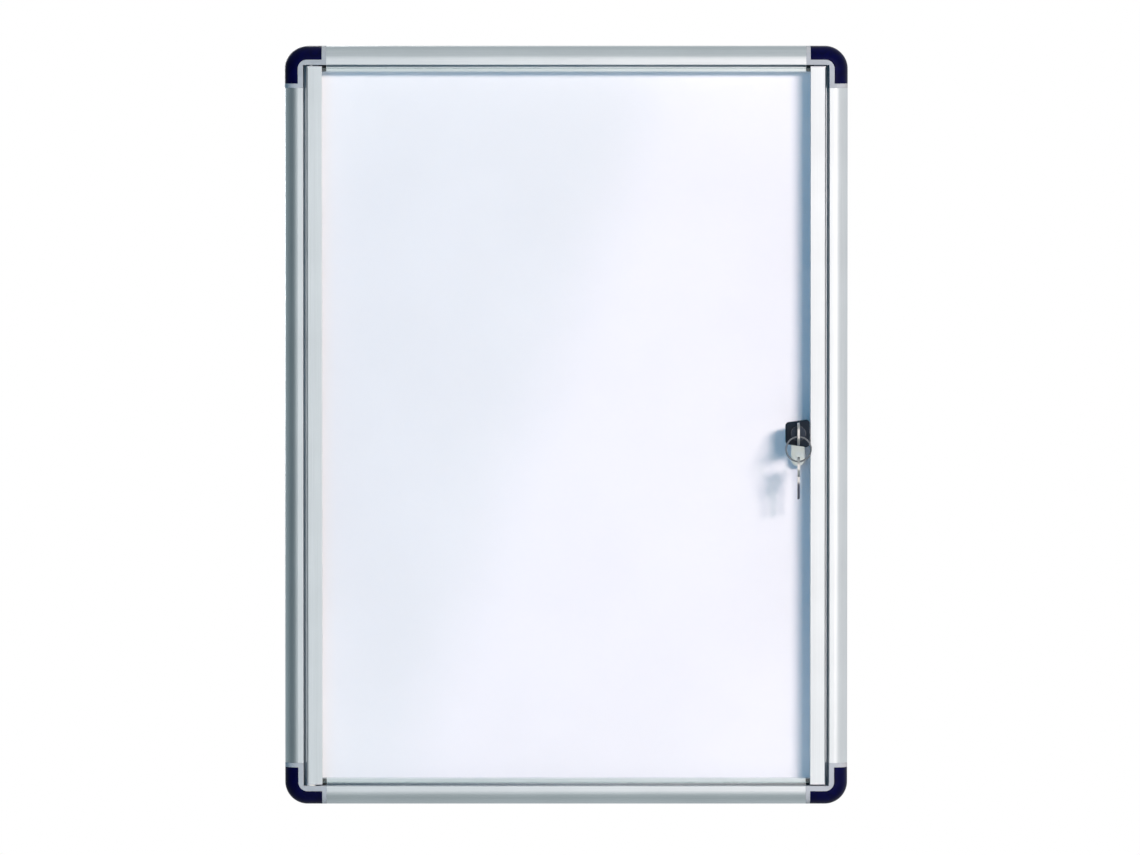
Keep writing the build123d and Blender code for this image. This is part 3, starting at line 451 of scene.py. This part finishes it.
def grained_moulding(name, colour, dullness):
    """Moulded plastic with a fine spark-eroded grain, flow clouds and paler rubbed edges."""
    looks = finishes()
    finish = Finish(name)
    grain = finish.noise(looks.moulded_grain, roughness=0.6)
    cloud = finish.noise(size=0.022, detail=2.0, twist=0.6)
    specks = finish.noise(size=0.0022, detail=1.0)
    worn = finish.edges(looks.edge_wear)
    tone = finish.tones(colour, finish.between(cloud, 0.3, 0.7), 0.92, 1.05)
    tone = finish.blend(0.35 * finish.between(specks, 0.62, 0.75), tone, shade(colour, 1.15))
    tone = finish.blend(0.5 * worn, tone, shade(colour, 1.35))
    roughness = dullness + 0.10 * grain + 0.05 * cloud
    return finish.surface(tone, roughness, grain, depth=0.00003)


def polished_cap():
    """Dark blue gloss moulding with faint handling marks and soft flow ripples."""
    looks = finishes()
    finish = Finish("dark_blue_moulding")
    flow = finish.noise(size=0.009, detail=2.0, twist=0.8)
    marks = finish.noise(size=0.0012, detail=4.0, roughness=0.7, squeeze=(1.0, 1.0, 0.15))
    worn = finish.edges(looks.edge_wear)
    colour = finish.tones(looks.cap, finish.between(flow, 0.3, 0.7), 0.75, 1.25)
    colour = finish.blend(0.4 * worn, colour, looks.cap_edge)
    roughness = 0.32 + 0.10 * finish.between(marks, 0.5, 0.8) + 0.06 * flow + 0.1 * worn
    relief = 0.6 * flow + 0.4 * marks
    return finish.surface(colour, roughness, relief, depth=0.00002, specular=0.09)


def white_lacquer():
    """White stoved lacquer: orange peel, faint clouds, and dry-wiped streaks in its gloss."""
    looks = finishes()
    finish = Finish("white_lacquered_steel")
    peel = finish.noise(looks.orange_peel, detail=2.0)
    cloud = finish.noise(size=0.13)
    wiped = finish.noise(size=0.012, detail=4.0, roughness=0.6, squeeze=(0.25, 1.0, 1.0), twist=1.2)
    specks = finish.between(finish.cells(size=0.011, output="Distance"), 0.045, 0.02)
    colour = finish.tones(looks.board, finish.between(cloud, 0.3, 0.7), 0.985, 1.01)
    cooler = tinted(looks.board, (0.90, 0.94, 1.0))
    colour = finish.blend(0.05 * finish.between(wiped, 0.55, 0.8), colour, cooler)
    colour = finish.blend(0.06 * specks, colour, looks.speck)
    roughness = 0.30 + 0.12 * finish.between(wiped, 0.45, 0.8) + 0.04 * peel
    return finish.surface(colour, roughness, peel, depth=0.000010)


def galvanised_sheet():
    """Hot-dipped zinc: large crystals of different brightness with fine grey bloom."""
    looks = finishes()
    finish = Finish("galvanised_spangle")
    crystal = finish.axis(finish.cells(looks.spangle, "Color"), "X")
    feathers = finish.noise(size=0.0016, squeeze=(1.0, 1.0, 0.3), twist=1.5)
    bloom = finish.noise(size=0.09, detail=4.0)
    border = finish.between(finish.cells(looks.spangle, "Distance", "DISTANCE_TO_EDGE"), 0.06, 0.0)
    tone = 0.55 * crystal + 0.25 * feathers + 0.20 * bloom
    colour = finish.tones(looks.zinc, tone, 0.72, 1.18)
    colour = finish.blend(0.25 * border, colour, shade(looks.zinc, 0.6))
    dull = 0.35 * finish.between(bloom, 0.55, 0.75)
    colour = finish.blend(dull, colour, looks.bloom)
    roughness = 0.34 + 0.22 * crystal + 0.10 * bloom
    relief = 0.7 * crystal + 0.3 * feathers
    return finish.surface(colour, roughness, relief, depth=0.00003, metallic=1.0 - dull)


def pressed_fibre():
    """Pressed fibre board: matted fibres and darker flecks."""
    looks = finishes()
    finish = Finish("pressed_fibre")
    fibres = finish.noise(size=0.0011, detail=4.0, roughness=0.65, squeeze=(0.2, 1.0, 1.0), twist=1.0)
    across = finish.noise(size=0.0011, detail=4.0, roughness=0.65, squeeze=(1.0, 1.0, 0.2), twist=1.0)
    layers = finish.noise(size=0.0008, detail=2.0, squeeze=(0.05, 1.0, 0.05))
    flecks = finish.between(finish.noise(size=0.004, detail=2.0), 0.60, 0.72)
    tone = 0.4 * fibres + 0.3 * across + 0.3 * layers
    colour = finish.tones(looks.fibre, finish.between(tone, 0.3, 0.7), 0.65, 1.3)
    colour = finish.blend(0.5 * flecks, colour, shade(looks.fibre, 0.45))
    roughness = 0.82 + 0.12 * fibres
    return finish.surface(colour, roughness, tone, depth=0.00012)


def zinc_plate():
    """Bright zinc plating on steel, with a faint yellow-blue passivation and dull patches."""
    looks = finishes()
    finish = Finish("bright_zinc_plate")
    film = finish.noise(size=0.006, twist=1.0)
    turning = finish.noise(size=0.0004, squeeze=(1.0, 0.1, 1.0))
    worn = finish.edges(looks.edge_wear)
    yellow = tinted(looks.zinc, (1.10, 1.06, 0.92))
    blue = tinted(looks.zinc, (0.98, 1.06, 1.14))
    colour = finish.blend(film, yellow, blue)
    colour = finish.blend(0.4 * worn, colour, looks.zinc_edge)
    roughness = 0.24 + 0.16 * film + 0.08 * turning
    return finish.surface(colour, roughness, turning, depth=0.000015, metallic=1.0)


def black_casting():
    """Black lacquered die casting: fine grain, and bare metal showing through along its edges."""
    looks = finishes()
    finish = Finish("black_die_casting")
    grain = finish.noise(size=0.0005, roughness=0.6)
    rubbed = finish.noise(size=0.0028, roughness=0.6)
    scratches = finish.noise(size=0.0006, squeeze=(1.0, 1.0, 0.06))
    worn = finish.edges(1.4 * looks.edge_wear)
    bare = worn * finish.between(rubbed, 0.48, 0.62) * 0.8
    colour = finish.tones(looks.lock, rubbed, 0.8, 1.4)
    colour = finish.blend(0.5 * finish.between(scratches, 0.62, 0.75), colour, shade(looks.lock, 3.0))
    colour = finish.blend(bare, colour, looks.bare_casting)
    roughness = 0.26 + 0.14 * grain + 0.10 * rubbed
    return finish.surface(colour, roughness, grain, depth=0.00002, metallic=bare, specular=0.18)


def black_rubber_and_shade():
    """Matt black rubber with a chalky bloom in its pores; on the door bumpers its black is also painted shade
    at the door's corners.
    """
    looks = finishes()
    finish = Finish("black_rubber_and_shade")
    pores = finish.noise(size=0.0004, roughness=0.7)
    bloom = finish.noise(size=0.0035)
    colour = finish.blend(finish.between(bloom, 0.45, 0.75), looks.rubber_and_shade, shade(looks.rubber_and_shade, 2.2))
    roughness = 0.66 + 0.22 * pores
    return finish.surface(colour, roughness, pores, depth=0.00004)


def soft_extrusion(name, tint):
    """Soft grey extruded rubber with fine lines along its length and a dusty bloom; it also colours the grey
    strips of painted shade in the gap round the door.
    """
    finish = Finish(name)
    lines = finish.noise(size=0.0004, detail=2.0, squeeze=(1.0, 1.0, 0.01))
    bloom = finish.noise(size=0.012)
    colour = finish.tones(tint, bloom, 0.86, 1.1)
    roughness = 0.52 + 0.16 * lines + 0.08 * bloom
    return finish.surface(colour, roughness, lines, depth=0.00002)


def nickel_plate(name, blade_top=None):
    """Nickel plate on keys: bright, scratched in use, with dull hollows, and below blade_top a painted dark
    reflection.
    """
    looks = finishes()
    finish = Finish(name)
    along = finish.noise(size=0.0005, roughness=0.6, squeeze=(1.0, 0.06, 1.0))
    down = finish.noise(size=0.0005, roughness=0.6, squeeze=(1.0, 1.0, 0.06))
    dull = finish.noise(size=0.0045)
    worn = finish.edges(looks.edge_wear)
    scratched = 0.5 * finish.between(along, 0.55, 0.78) + 0.5 * finish.between(down, 0.55, 0.78)
    colour = finish.tones(looks.nickel, finish.between(dull, 0.35, 0.7), 0.82, 1.06)
    colour = finish.blend(0.5 * worn, colour, looks.nickel_edge)
    # Painted reflection: below blade_top the blade is coloured dark for the dark surroundings it mirrors.
    if blade_top is not None:
        height = finish.axis(finish.place(), "Z") + looks.painted_reflection_wander * dull
        painted_reflection = finish.between(height, blade_top, blade_top - looks.painted_reflection_edge)
        colour = finish.blend(0.95 * painted_reflection, colour, looks.painted_blade_reflection)
    roughness = 0.24 + 0.14 * dull + 0.16 * scratched
    return finish.surface(colour, roughness, scratched, depth=0.00001, metallic=1.0)


def spring_wire():
    """Drawn spring steel: fine die lines along the wire, grey film and bright rubbed patches."""
    looks = finishes()
    finish = Finish("drawn_spring_wire")
    film = finish.noise(size=0.0015)
    lines = finish.noise(size=0.0002, roughness=0.6)
    rubbed = finish.between(finish.noise(size=0.004, detail=2.0), 0.55, 0.70)
    colour = finish.tones(looks.wire, film, 0.75, 1.25)
    colour = finish.blend(0.3 * rubbed, colour, looks.nickel)
    roughness = 0.28 + 0.12 * film + 0.08 * lines
    return finish.surface(colour, roughness, lines, depth=0.00001, metallic=1.0)


def dark_plate():
    """Dark plated plug: turned rings in its gloss and bright rubbed edges."""
    looks = finishes()
    finish = Finish("dark_plated_plug")
    rings = finish.noise(size=0.0003, roughness=0.6)
    rubbed = finish.noise(size=0.0018)
    worn = finish.edges(looks.edge_wear)
    colour = finish.tones(looks.gunmetal, rubbed, 0.7, 1.5)
    colour = finish.blend(0.6 * worn, colour, shade(looks.nickel, 0.6))
    roughness = 0.24 + 0.16 * rubbed + 0.06 * rings
    return finish.surface(colour, roughness, rings, depth=0.00001, metallic=1.0)


def stamped_brass():
    """Stamped brass with shear lines and brown tarnish."""
    looks = finishes()
    finish = Finish("stamped_brass")
    shear = finish.noise(size=0.0003, squeeze=(1.0, 0.1, 1.0))
    tarnish = finish.noise(size=0.0022, detail=4.0)
    brown = tinted(looks.brass, (0.62, 0.5, 0.4))
    colour = finish.blend(finish.between(tarnish, 0.4, 0.75), looks.brass, brown)
    roughness = 0.26 + 0.20 * tarnish + 0.08 * shear
    return finish.surface(colour, roughness, shear, depth=0.00002, metallic=1.0)


def natural_nylon():
    """Milky turned nylon with fine tool rings."""
    looks = finishes()
    finish = Finish("natural_nylon")
    rings = finish.noise(size=0.0003, detail=2.0, squeeze=(1.0, 1.0, 6.0))
    cloud = finish.noise(size=0.003, detail=2.0)
    colour = finish.tones(looks.nylon, cloud, 0.9, 1.08)
    roughness = 0.40 + 0.14 * rings
    return finish.surface(colour, roughness, rings, depth=0.00003)


def clear_pane():
    """Clear sheet: gloss that grows at grazing angles, faint smudges and dust, and tinted cut edges."""
    looks = finishes()
    finish = Finish("clear_pane")
    grazing = finish.node("ShaderNodeLayerWeight", None, {"Blend": 0.5}, "Facing")
    head_on = 0.04
    gloss = head_on + (1.0 - head_on) * grazing**5
    wiped = finish.noise(size=0.05, detail=4.0, roughness=0.6, squeeze=(1.0, 1.0, 0.4), twist=1.0)
    smudges = finish.between(wiped, 0.55, 0.80)
    dust = finish.between(finish.cells(size=0.017, output="Distance"), 0.03, 0.015)
    facing = finish.axis(finish.node("ShaderNodeTexCoord", output="Normal"), "Y")
    cut_edge = finish.between(facing * facing, 0.9, 0.5)
    seen = gloss + 0.006 * smudges + 0.10 * dust + 0.35 * cut_edge
    waves = finish.noise(size=0.16, detail=1.0)
    colour = finish.blend(cut_edge, looks.pane_gloss, looks.pane_edge)
    roughness = 0.02 + 0.10 * smudges + 0.25 * cut_edge
    finish.surface(colour, roughness, waves, depth=0.00006, metallic=1.0)
    finish.show_mixed(seen, finish.clear(looks.pane), finish.solid)
    return finish.material


def dress(material, *names):
    """Gives CAD nodes a finish."""
    for name in names:
        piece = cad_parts.get(name)
        if piece is None:
            raise RuntimeError("no CAD node named " + name)
        if not piece.material_slots:
            piece.data.materials.append(None)
        for slot in piece.material_slots:
            slot.material = material


def corner_names(piece):
    return [piece + "_" + corner for corner in CORNERS]


def box_middle(node):
    """The middle of a CAD node's box."""
    low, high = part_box(node)
    return (Vector(low) + Vector(high)) / 2


def join_loops(mesh, loops):
    """Joins each loop of points to the next one by a band of faces."""
    for first, second in zip(loops, loops[1:]):
        for step in range(len(first)):
            after = (step + 1) % len(first)
            mesh.faces.new((first[step], first[after], second[after], second[step]))


def close_strip(mesh, loops):
    """Skins loops of points as a closed strip, smooth along its length and flat at its ends."""
    join_loops(mesh, loops)
    mesh.faces.new(loops[0])
    mesh.faces.new(loops[-1])
    bmesh.ops.recalc_face_normals(mesh, faces=mesh.faces)
    for face in mesh.faces:
        face.smooth = len(face.verts) == 4


def mesh_data(mesh, name):
    """Hands a finished mesh over as an object's data."""
    data = bpy.data.meshes.new(name)
    mesh.to_mesh(data)
    mesh.free()
    return data


def circle(steps):
    """Points round a circle with a radius of 1."""
    angles = [math.tau * step / steps for step in range(steps)]
    return [(math.cos(angle), math.sin(angle)) for angle in angles]


def thread_mesh(axis_x, axis_z, back, front, sizes):
    """A V-shaped ridge wound round the lock's axis from one y to another, as a closed mesh."""
    sunk = sizes.height / 4
    root = sizes.barrel / 2 - sunk
    crest = sizes.barrel / 2 + sizes.height
    half = sizes.pitch * sizes.flank
    count = int((back - front) / sizes.pitch * sizes.steps)
    run_out = sizes.steps / 2
    mesh = bmesh.new()
    loops = []
    for step in range(count + 1):
        angle = math.tau * step / sizes.steps
        middle = back - sizes.pitch * step / sizes.steps
        fade = min(1.0, step / run_out, (count - step) / run_out)
        profile = ((middle + half, root), (middle, root + (crest - root) * fade), (middle - half, root))
        loop = []
        for y, radius in profile:
            place = (axis_x + radius * math.cos(angle), y, axis_z + radius * math.sin(angle))
            loop.append(mesh.verts.new(place))
        loops.append(loop)
    close_strip(mesh, loops)
    return mesh_data(mesh, "barrel_thread")


def gap_shade_profile(sizes):
    """A bulb on a flat foot: places across the painted shade strip and over the ledge."""
    points = [(0.0, 0.0), (sizes.width, 0.0)]
    for step in range(sizes.steps + 1):
        angle = math.pi * step / sizes.steps
        across = sizes.width * (1.0 + math.cos(angle)) / 2
        points.append((across, sizes.height * (sizes.foot + (1.0 - sizes.foot) * math.sin(angle))))
    return points


def gap_shade_mesh(name, sizes, ledge, outer, half_length, side, upright):
    """One straight run of painted shade strip, on a side rail if upright and otherwise on the top or bottom
    rail.
    """
    mesh = bmesh.new()
    loops = []
    for end in (-half_length, half_length):
        loop = []
        for across, over in gap_shade_profile(sizes):
            away = side * (outer - sizes.inset - across)
            place = (away, ledge - over, end) if upright else (end, ledge - over, away)
            loop.append(mesh.verts.new(place))
        loops.append(loop)
    close_strip(mesh, loops)
    return mesh_data(mesh, name)


def add_object(name, data, material=None):
    """Puts a new object into the scene."""
    added = bpy.data.objects.new(name, data)
    bpy.context.scene.collection.objects.link(added)
    if material is not None:
        added.data.materials.append(material)
    return added


def aim(item, target):
    """Turns a lamp or a camera towards a point."""
    direction = Vector(target) - item.location
    item.rotation_euler = direction.to_track_quat("-Z", "Y").to_euler()


def add_camera(stage):
    """A long lens in front of the case, a little above its middle."""
    data = bpy.data.cameras.new("front_camera")
    data.sensor_width = 36.0
    data.lens = data.sensor_width * stage.camera_distance / stage.view_width
    data.clip_end = 100.0
    camera = add_object("front_camera", data)
    target = Vector((stage.view_right, -stage.frame_depth, -stage.view_below))
    outward = Vector((0.0, -math.cos(stage.camera_rise), math.sin(stage.camera_rise)))
    camera.location = target + stage.camera_distance * outward
    aim(camera, target)
    bpy.context.scene.camera = camera


def add_lamp(name, direction, distance, size, power, colour):
    """A soft rectangular lamp aimed at the case, which is seen neither itself nor in gloss."""
    data = bpy.data.lights.new(name, "AREA")
    data.shape = "RECTANGLE"
    data.size, data.size_y = size
    data.energy = power
    data.color = colour
    lamp = add_object(name, data)
    lamp.location = Vector(direction).normalized() * distance
    lamp.visible_camera = False
    lamp.visible_glossy = False
    aim(lamp, (0.0, 0.0, 0.0))
    return lamp


def add_room(stage):
    """A white surround for what is seen and mirrored, and a soft cool light on everything else."""
    world = bpy.data.worlds.new("studio_room")
    bpy.context.scene.world = world
    world.use_nodes = True
    nodes = Nodes(world.node_tree)
    camera = nodes.node("ShaderNodeLightPath", output="Is Camera Ray")
    glossy = nodes.node("ShaderNodeLightPath", output="Is Glossy Ray")
    through = nodes.node("ShaderNodeLightPath", output="Is Transmission Ray")
    seen = camera + glossy + through
    colour = nodes.blend(seen, stage.room_colour, WHITE)
    light = nodes.node("ShaderNodeBackground", None, {"Color": colour, "Strength": 1.0})
    output = nodes.tree.nodes.new("ShaderNodeOutputWorld")
    nodes.tree.links.new(light.socket, output.inputs["Surface"])


def floor_mesh(radius, height, rings=4, steps=96):
    """A flat disc of rings that faces up."""
    mesh = bmesh.new()
    middle = mesh.verts.new((0.0, 0.0, height))
    loops = []
    for ring in range(rings, 0, -1):
        out = radius * ring / rings
        loops.append([mesh.verts.new((out * x, out * y, height)) for x, y in circle(steps)])
    join_loops(mesh, loops)
    for step in range(steps):
        mesh.faces.new((middle, loops[-1][step], loops[-1][(step + 1) % steps]))
    return mesh_data(mesh, "studio_floor")


def floor_height(stage):
    return cad_box[0][2] - stage.floor_below


def add_floor(stage):
    """A pale floor that fades into the white surround, and is clear from below."""
    finish = Finish("pale_floor")
    flat = finish.scaled(finish.place(), (1.0, 1.0, 0.0))
    out = finish.node("ShaderNodeVectorMath", {"operation": "LENGTH"}, {0: flat}, "Value")
    fade = finish.between(out, stage.floor_clear, stage.floor_radius)
    below = finish.node("ShaderNodeNewGeometry", output="Backfacing")
    colour = finish.tones(stage.floor_colour, finish.noise(size=0.25, detail=2.0), 0.985, 1.0)
    finish.surface(colour, roughness=0.9, specular=0.1)
    finish.show_mixed(1.0 - (1.0 - fade) * (1.0 - below), finish.solid, finish.clear())
    disc = floor_mesh(stage.floor_radius, floor_height(stage))
    floor = add_object("studio_floor", disc, finish.material)
    floor.visible_glossy = False


def seen_in_gloss_only(item):
    """The item shows in metal and in the pane, and neither lights nor shades anything else."""
    item.visible_camera = False
    item.visible_diffuse = False
    item.visible_transmission = False
    item.visible_volume_scatter = False
    item.visible_shadow = False


def glow(finish, colour, opacity, strength=1.0):
    """Makes a finish a plain glow that is clear where opacity is 0."""
    light = finish.node("ShaderNodeEmission", None, {"Color": colour, "Strength": strength})
    finish.show_mixed(opacity, finish.clear(), light)
    finish.material.cycles.emission_sampling = "NONE"
    return finish.material


def surround_mesh(radius, steps=48, rows=32):
    """A globe round the case, closed in front and open behind."""
    mesh = bmesh.new()
    loops = []
    for row in range(rows + 1):
        lean = math.pi * (row + 0.5) / (rows + 1)
        y = -math.cos(lean) * radius
        out = math.sin(lean) * radius
        loops.append([mesh.verts.new((out * x, y, out * z)) for x, z in circle(steps)])
    join_loops(mesh, loops)
    mesh.faces.new(loops[0])
    return mesh_data(mesh, "soft_flags")


def add_flags(stage):
    """Grey flags, dark at the left and round the lens, which the metal and the pane mirror."""
    finish = Finish("soft_flags")
    direction = finish.node("ShaderNodeVectorMath", {"operation": "NORMALIZE"}, {0: finish.place()}, "Vector")
    sideways = 0.5 + 0.5 * finish.axis(direction, "X")
    upward = finish.axis(direction, "Z")
    depth = finish.axis(direction, "Y")
    steep = 0.85 * finish.between(upward * upward, 0.0, 0.22)
    behind = finish.between(depth, -0.25, 0.30)
    in_front = finish.ramp(FRONT_TONES, sideways)
    above_and_below = finish.ramp(STEEP_TONES, 0.5 + 0.5 * upward)
    colour = finish.blend(steep, in_front, above_and_below)
    colour = finish.blend(behind, colour, finish.ramp(BACK_TONES, sideways))
    mirrored_lens = (0.0, -math.cos(stage.camera_rise), -math.sin(stage.camera_rise))
    near_lens = finish.dot(direction, mirrored_lens)
    spot = finish.between(near_lens, math.cos(stage.lens_edge), math.cos(stage.lens_spot))
    colour = finish.blend(spot, colour, stage.lens_tone)
    opacity = finish.between(depth, 0.98, 0.85)
    flags = add_object("soft_flags", surround_mesh(stage.flags_radius), glow(finish, colour, opacity))
    seen_in_gloss_only(flags)


def add_card(stage):
    """A pale card at the right, which all but the pane and the board mirror."""
    finish = Finish("pale_card")
    place = finish.place()
    across = finish.axis(place, "X")
    up = finish.axis(place, "Z")
    left, right, low, high = stage.card_left, stage.card_right, -stage.card_below, stage.card_top
    opacity = finish.between(across, left, left + stage.card_fade_left)
    opacity = opacity * finish.between(across, right, right - stage.card_fade_right)
    opacity = opacity * finish.between(up, high, high - stage.card_fade)
    opacity = opacity * finish.between(up, low, low + stage.card_fade)
    mesh = bmesh.new()
    outline = ((left, low), (right, low), (right, high), (left, high))
    mesh.faces.new([mesh.verts.new((x, -stage.card_distance, z)) for x, z in outline])
    material = glow(finish, stage.card_colour, opacity, stage.card_strength)
    card = add_object("pale_card", mesh_data(mesh, "pale_card"), material)
    seen_in_gloss_only(card)
    without = bpy.data.collections.new("without_card")
    for name in ("door_pane", "face_sheet"):
        without.objects.link(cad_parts[name])
    for entry in without.collection_objects:
        entry.light_linking.link_state = "EXCLUDE"
    card.light_linking.receiver_collection = without


def add_slant_lamp(stage, place):
    """A weak lamp beside the main one whose light ends along a slanting soft edge on the board."""
    data = bpy.data.lights.new("slant_lamp", "POINT")
    data.energy = stage.slant_power
    data.color = stage.slant_colour
    data.shadow_soft_size = 0.0
    data.use_nodes = True
    lamp = add_object("slant_lamp", data)
    lamp.location = place
    lamp.visible_camera = False
    lamp.visible_glossy = False
    edge = Vector((stage.slant_lean, 0.0, 1.0))
    across = (Vector((stage.slant_place, 0.0, 0.0)) - lamp.location).cross(edge).normalized()
    nodes = Nodes(data.node_tree)
    direction = nodes.node("ShaderNodeTexCoord", output="Normal")
    beyond = nodes.dot(direction, across)
    lit = nodes.between(beyond, math.sin(stage.slant_dim), math.sin(stage.slant_full))
    light = nodes.node("ShaderNodeEmission", None, {"Color": lit, "Strength": 1.0})
    output = nodes.tree.nodes.new("ShaderNodeOutputLight")
    nodes.tree.links.new(light.socket, output.inputs["Surface"])


class NOTICECASE_OT_rails(Operator):
    """Anodised finish on the four rails, with its lines along each rail"""

    bl_idname = "notice_case.rails"
    bl_label = "Dress Rails"

    def execute(self, context):
        dress(anodised_aluminium("x"), "rail_top", "rail_bottom")
        dress(anodised_aluminium("z"), "rail_left", "rail_right", "hinge_stile", "lock_stile")
        return {"FINISHED"}


class NOTICECASE_OT_corners(Operator):
    """Grey moulded brackets and dark blue caps"""

    bl_idname = "notice_case.corners"
    bl_label = "Dress Corners"

    def execute(self, context):
        dress(grained_moulding("grey_moulding", finishes().bracket, 0.48), *corner_names("corner_bracket"))
        dress(polished_cap(), *corner_names("corner_cap"))
        return {"FINISHED"}


class NOTICECASE_OT_panel(Operator):
    """White board, its core and the rear sheet"""

    bl_idname = "notice_case.panel"
    bl_label = "Dress Back Panel"

    def execute(self, context):
        dress(white_lacquer(), "face_sheet")
        dress(pressed_fibre(), "core_board")
        dress(galvanised_sheet(), "rear_sheet")
        return {"FINISHED"}


class NOTICECASE_OT_door(Operator):
    """Clear pane, gaskets and the plugs in the stiles' ends"""

    bl_idname = "notice_case.door"
    bl_label = "Dress Door"

    def execute(self, context):
        dress(clear_pane(), "door_pane")
        dress(soft_extrusion("soft_grey_gasket", finishes().gasket), "hinge_gasket", "lock_gasket")
        plugs = [stile + "_plug_" + end for stile in ("hinge", "lock_stile") for end in ("top", "bottom")]
        dress(grained_moulding("pale_plug_moulding", finishes().plug, 0.42), *plugs)
        return {"FINISHED"}


class NOTICECASE_OT_fittings(Operator):
    """Plated screws, pins and nut, bumpers, lock seat and thrust washer"""

    bl_idname = "notice_case.fittings"
    bl_label = "Dress Fittings"

    def execute(self, context):
        plated = ("tenon_screws", "pivot_pin_top", "pivot_pin_bottom", "lock_washer", "lock_nut")
        dress(zinc_plate(), *plated, "lock_cam", "cam_screw")
        # The black of the door bumpers is painted shade at the door's corners.
        dress(black_rubber_and_shade(), "door_bumpers", "lock_seat")
        dress(natural_nylon(), "thrust_washer")
        return {"FINISHED"}


class NOTICECASE_OT_lock(Operator):
    """Black lock body, plug, wafers, keys and ring"""

    bl_idname = "notice_case.lock"
    bl_label = "Dress Lock"

    def execute(self, context):
        dress(black_casting(), "lock_body")
        dress(dark_plate(), "lock_plug")
        dress(nickel_plate("worn_nickel_key"), "lock_key")
        # The spare key's blade tip carries a painted dark reflection.
        blade_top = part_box("spare_key")[0][2] + finishes().painted_reflection_reach
        dress(nickel_plate("nickel_key_painted_reflection", blade_top), "spare_key")
        dress(spring_wire(), "key_ring")
        dress(stamped_brass(), "lock_wafers")
        return {"FINISHED"}


class NOTICECASE_OT_thread(Operator):
    """Thread on the lock's barrel behind the nut"""

    bl_idname = "notice_case.thread"
    bl_label = "Add Barrel Thread"

    def execute(self, context):
        sizes = context.scene.notice_case_thread
        axis = box_middle("lock_washer")
        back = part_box("lock_body")[1][1] - sizes.margin
        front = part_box("lock_nut")[1][1] + sizes.margin
        mesh = thread_mesh(axis.x, axis.z, back, front, sizes)
        thread = add_object("barrel_thread", mesh, bpy.data.materials["black_die_casting"])
        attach(thread, "door")
        return {"FINISHED"}


class NOTICECASE_OT_gap_shade(Operator):
    """Grey strips on the rails' ledge that paint the shade in the gap round the door"""

    bl_idname = "notice_case.seal"
    bl_label = "Add Door Seal"

    def execute(self, context):
        sizes = context.scene.notice_case_seal
        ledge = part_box("door_bumpers")[1][1]
        half_width, half_height = cad_box[1][0], cad_box[1][2]
        # The strips in the gap round the door are painted shade, in the soft grey finish.
        rubber_and_shade = soft_extrusion("dark_gap_shade_strip", finishes().seal)
        for name, side, upright in GAP_SHADE_RUNS:
            outer = half_width if upright else half_height
            length = half_height - sizes.inset if upright else half_width - sizes.end
            mesh = gap_shade_mesh("door_seal_" + name, sizes, ledge, outer, length, side, upright)
            strip = add_object("door_seal_" + name, mesh, rubber_and_shade)
            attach(strip, "frame")
        return {"FINISHED"}


class NOTICECASE_OT_stage(Operator):
    """Camera, lamps, floor and surround"""

    bl_idname = "notice_case.stage"
    bl_label = "Set Stage"

    def execute(self, context):
        stage = context.scene.notice_case_stage
        context.scene.view_settings.view_transform = "Standard"
        add_camera(stage)
        add_room(stage)
        key_size = (stage.key_width, stage.key_height)
        soft_size = (stage.soft_size, stage.soft_size)
        top_size = (stage.top_width, stage.top_depth)
        key = add_lamp(
            "key_lamp", stage.key_from, stage.key_distance, key_size, stage.key_power, stage.key_colour
        )
        add_slant_lamp(stage, key.location)
        add_lamp(
            "fill_lamp", stage.fill_from, stage.fill_distance, soft_size, stage.fill_power, stage.fill_colour
        )
        back = add_lamp(
            "back_lamp", stage.back_from, stage.back_distance, soft_size, stage.back_power, WHITE
        )
        back.visible_glossy = True
        top = add_lamp(
            "top_lamp", stage.top_from, stage.top_distance, top_size, stage.top_power, stage.top_colour
        )
        aim(top, (0.0, stage.top_aim, floor_height(stage)))
        add_floor(stage)
        add_flags(stage)
        add_card(stage)
        return {"FINISHED"}


OPERATORS = (
    NOTICECASE_OT_rails,
    NOTICECASE_OT_corners,
    NOTICECASE_OT_panel,
    NOTICECASE_OT_door,
    NOTICECASE_OT_fittings,
    NOTICECASE_OT_lock,
    NOTICECASE_OT_thread,
    NOTICECASE_OT_gap_shade,
    NOTICECASE_OT_stage,
)


class NOTICECASE_PT_sidebar(Panel):
    """Steps and settings of the notice case"""

    bl_idname = "NOTICECASE_PT_sidebar"
    bl_label = "Notice Case"
    bl_space_type = "VIEW_3D"
    bl_region_type = "UI"
    bl_category = "Notice Case"

    def draw(self, context):
        for operator in OPERATORS:
            self.layout.operator(operator.bl_idname)
        for group in SETTINGS:
            settings = getattr(context.scene, group)
            for name in settings.__annotations__:
                self.layout.prop(settings, name)


SETTINGS = {
    "notice_case_finishes": NoticeCaseFinishes,
    "notice_case_thread": NoticeCaseThread,
    "notice_case_seal": NoticeCaseGapShade,
    "notice_case_stage": NoticeCaseStage,
}
CLASSES = (*SETTINGS.values(), *OPERATORS, NOTICECASE_PT_sidebar)


def register():
    for item in CLASSES:
        bpy.utils.register_class(item)
    for name, group in SETTINGS.items():
        setattr(bpy.types.Scene, name, PointerProperty(type=group))


def unregister():
    for name in SETTINGS:
        delattr(bpy.types.Scene, name)
    for item in reversed(CLASSES):
        bpy.utils.unregister_class(item)


def main():
    register()
    bpy.ops.notice_case.rails()
    bpy.ops.notice_case.corners()
    bpy.ops.notice_case.panel()
    bpy.ops.notice_case.door()
    bpy.ops.notice_case.fittings()
    bpy.ops.notice_case.lock()
    bpy.ops.notice_case.thread()
    bpy.ops.notice_case.seal()
    bpy.ops.notice_case.stage()


if __name__ == "__main__":
    main()
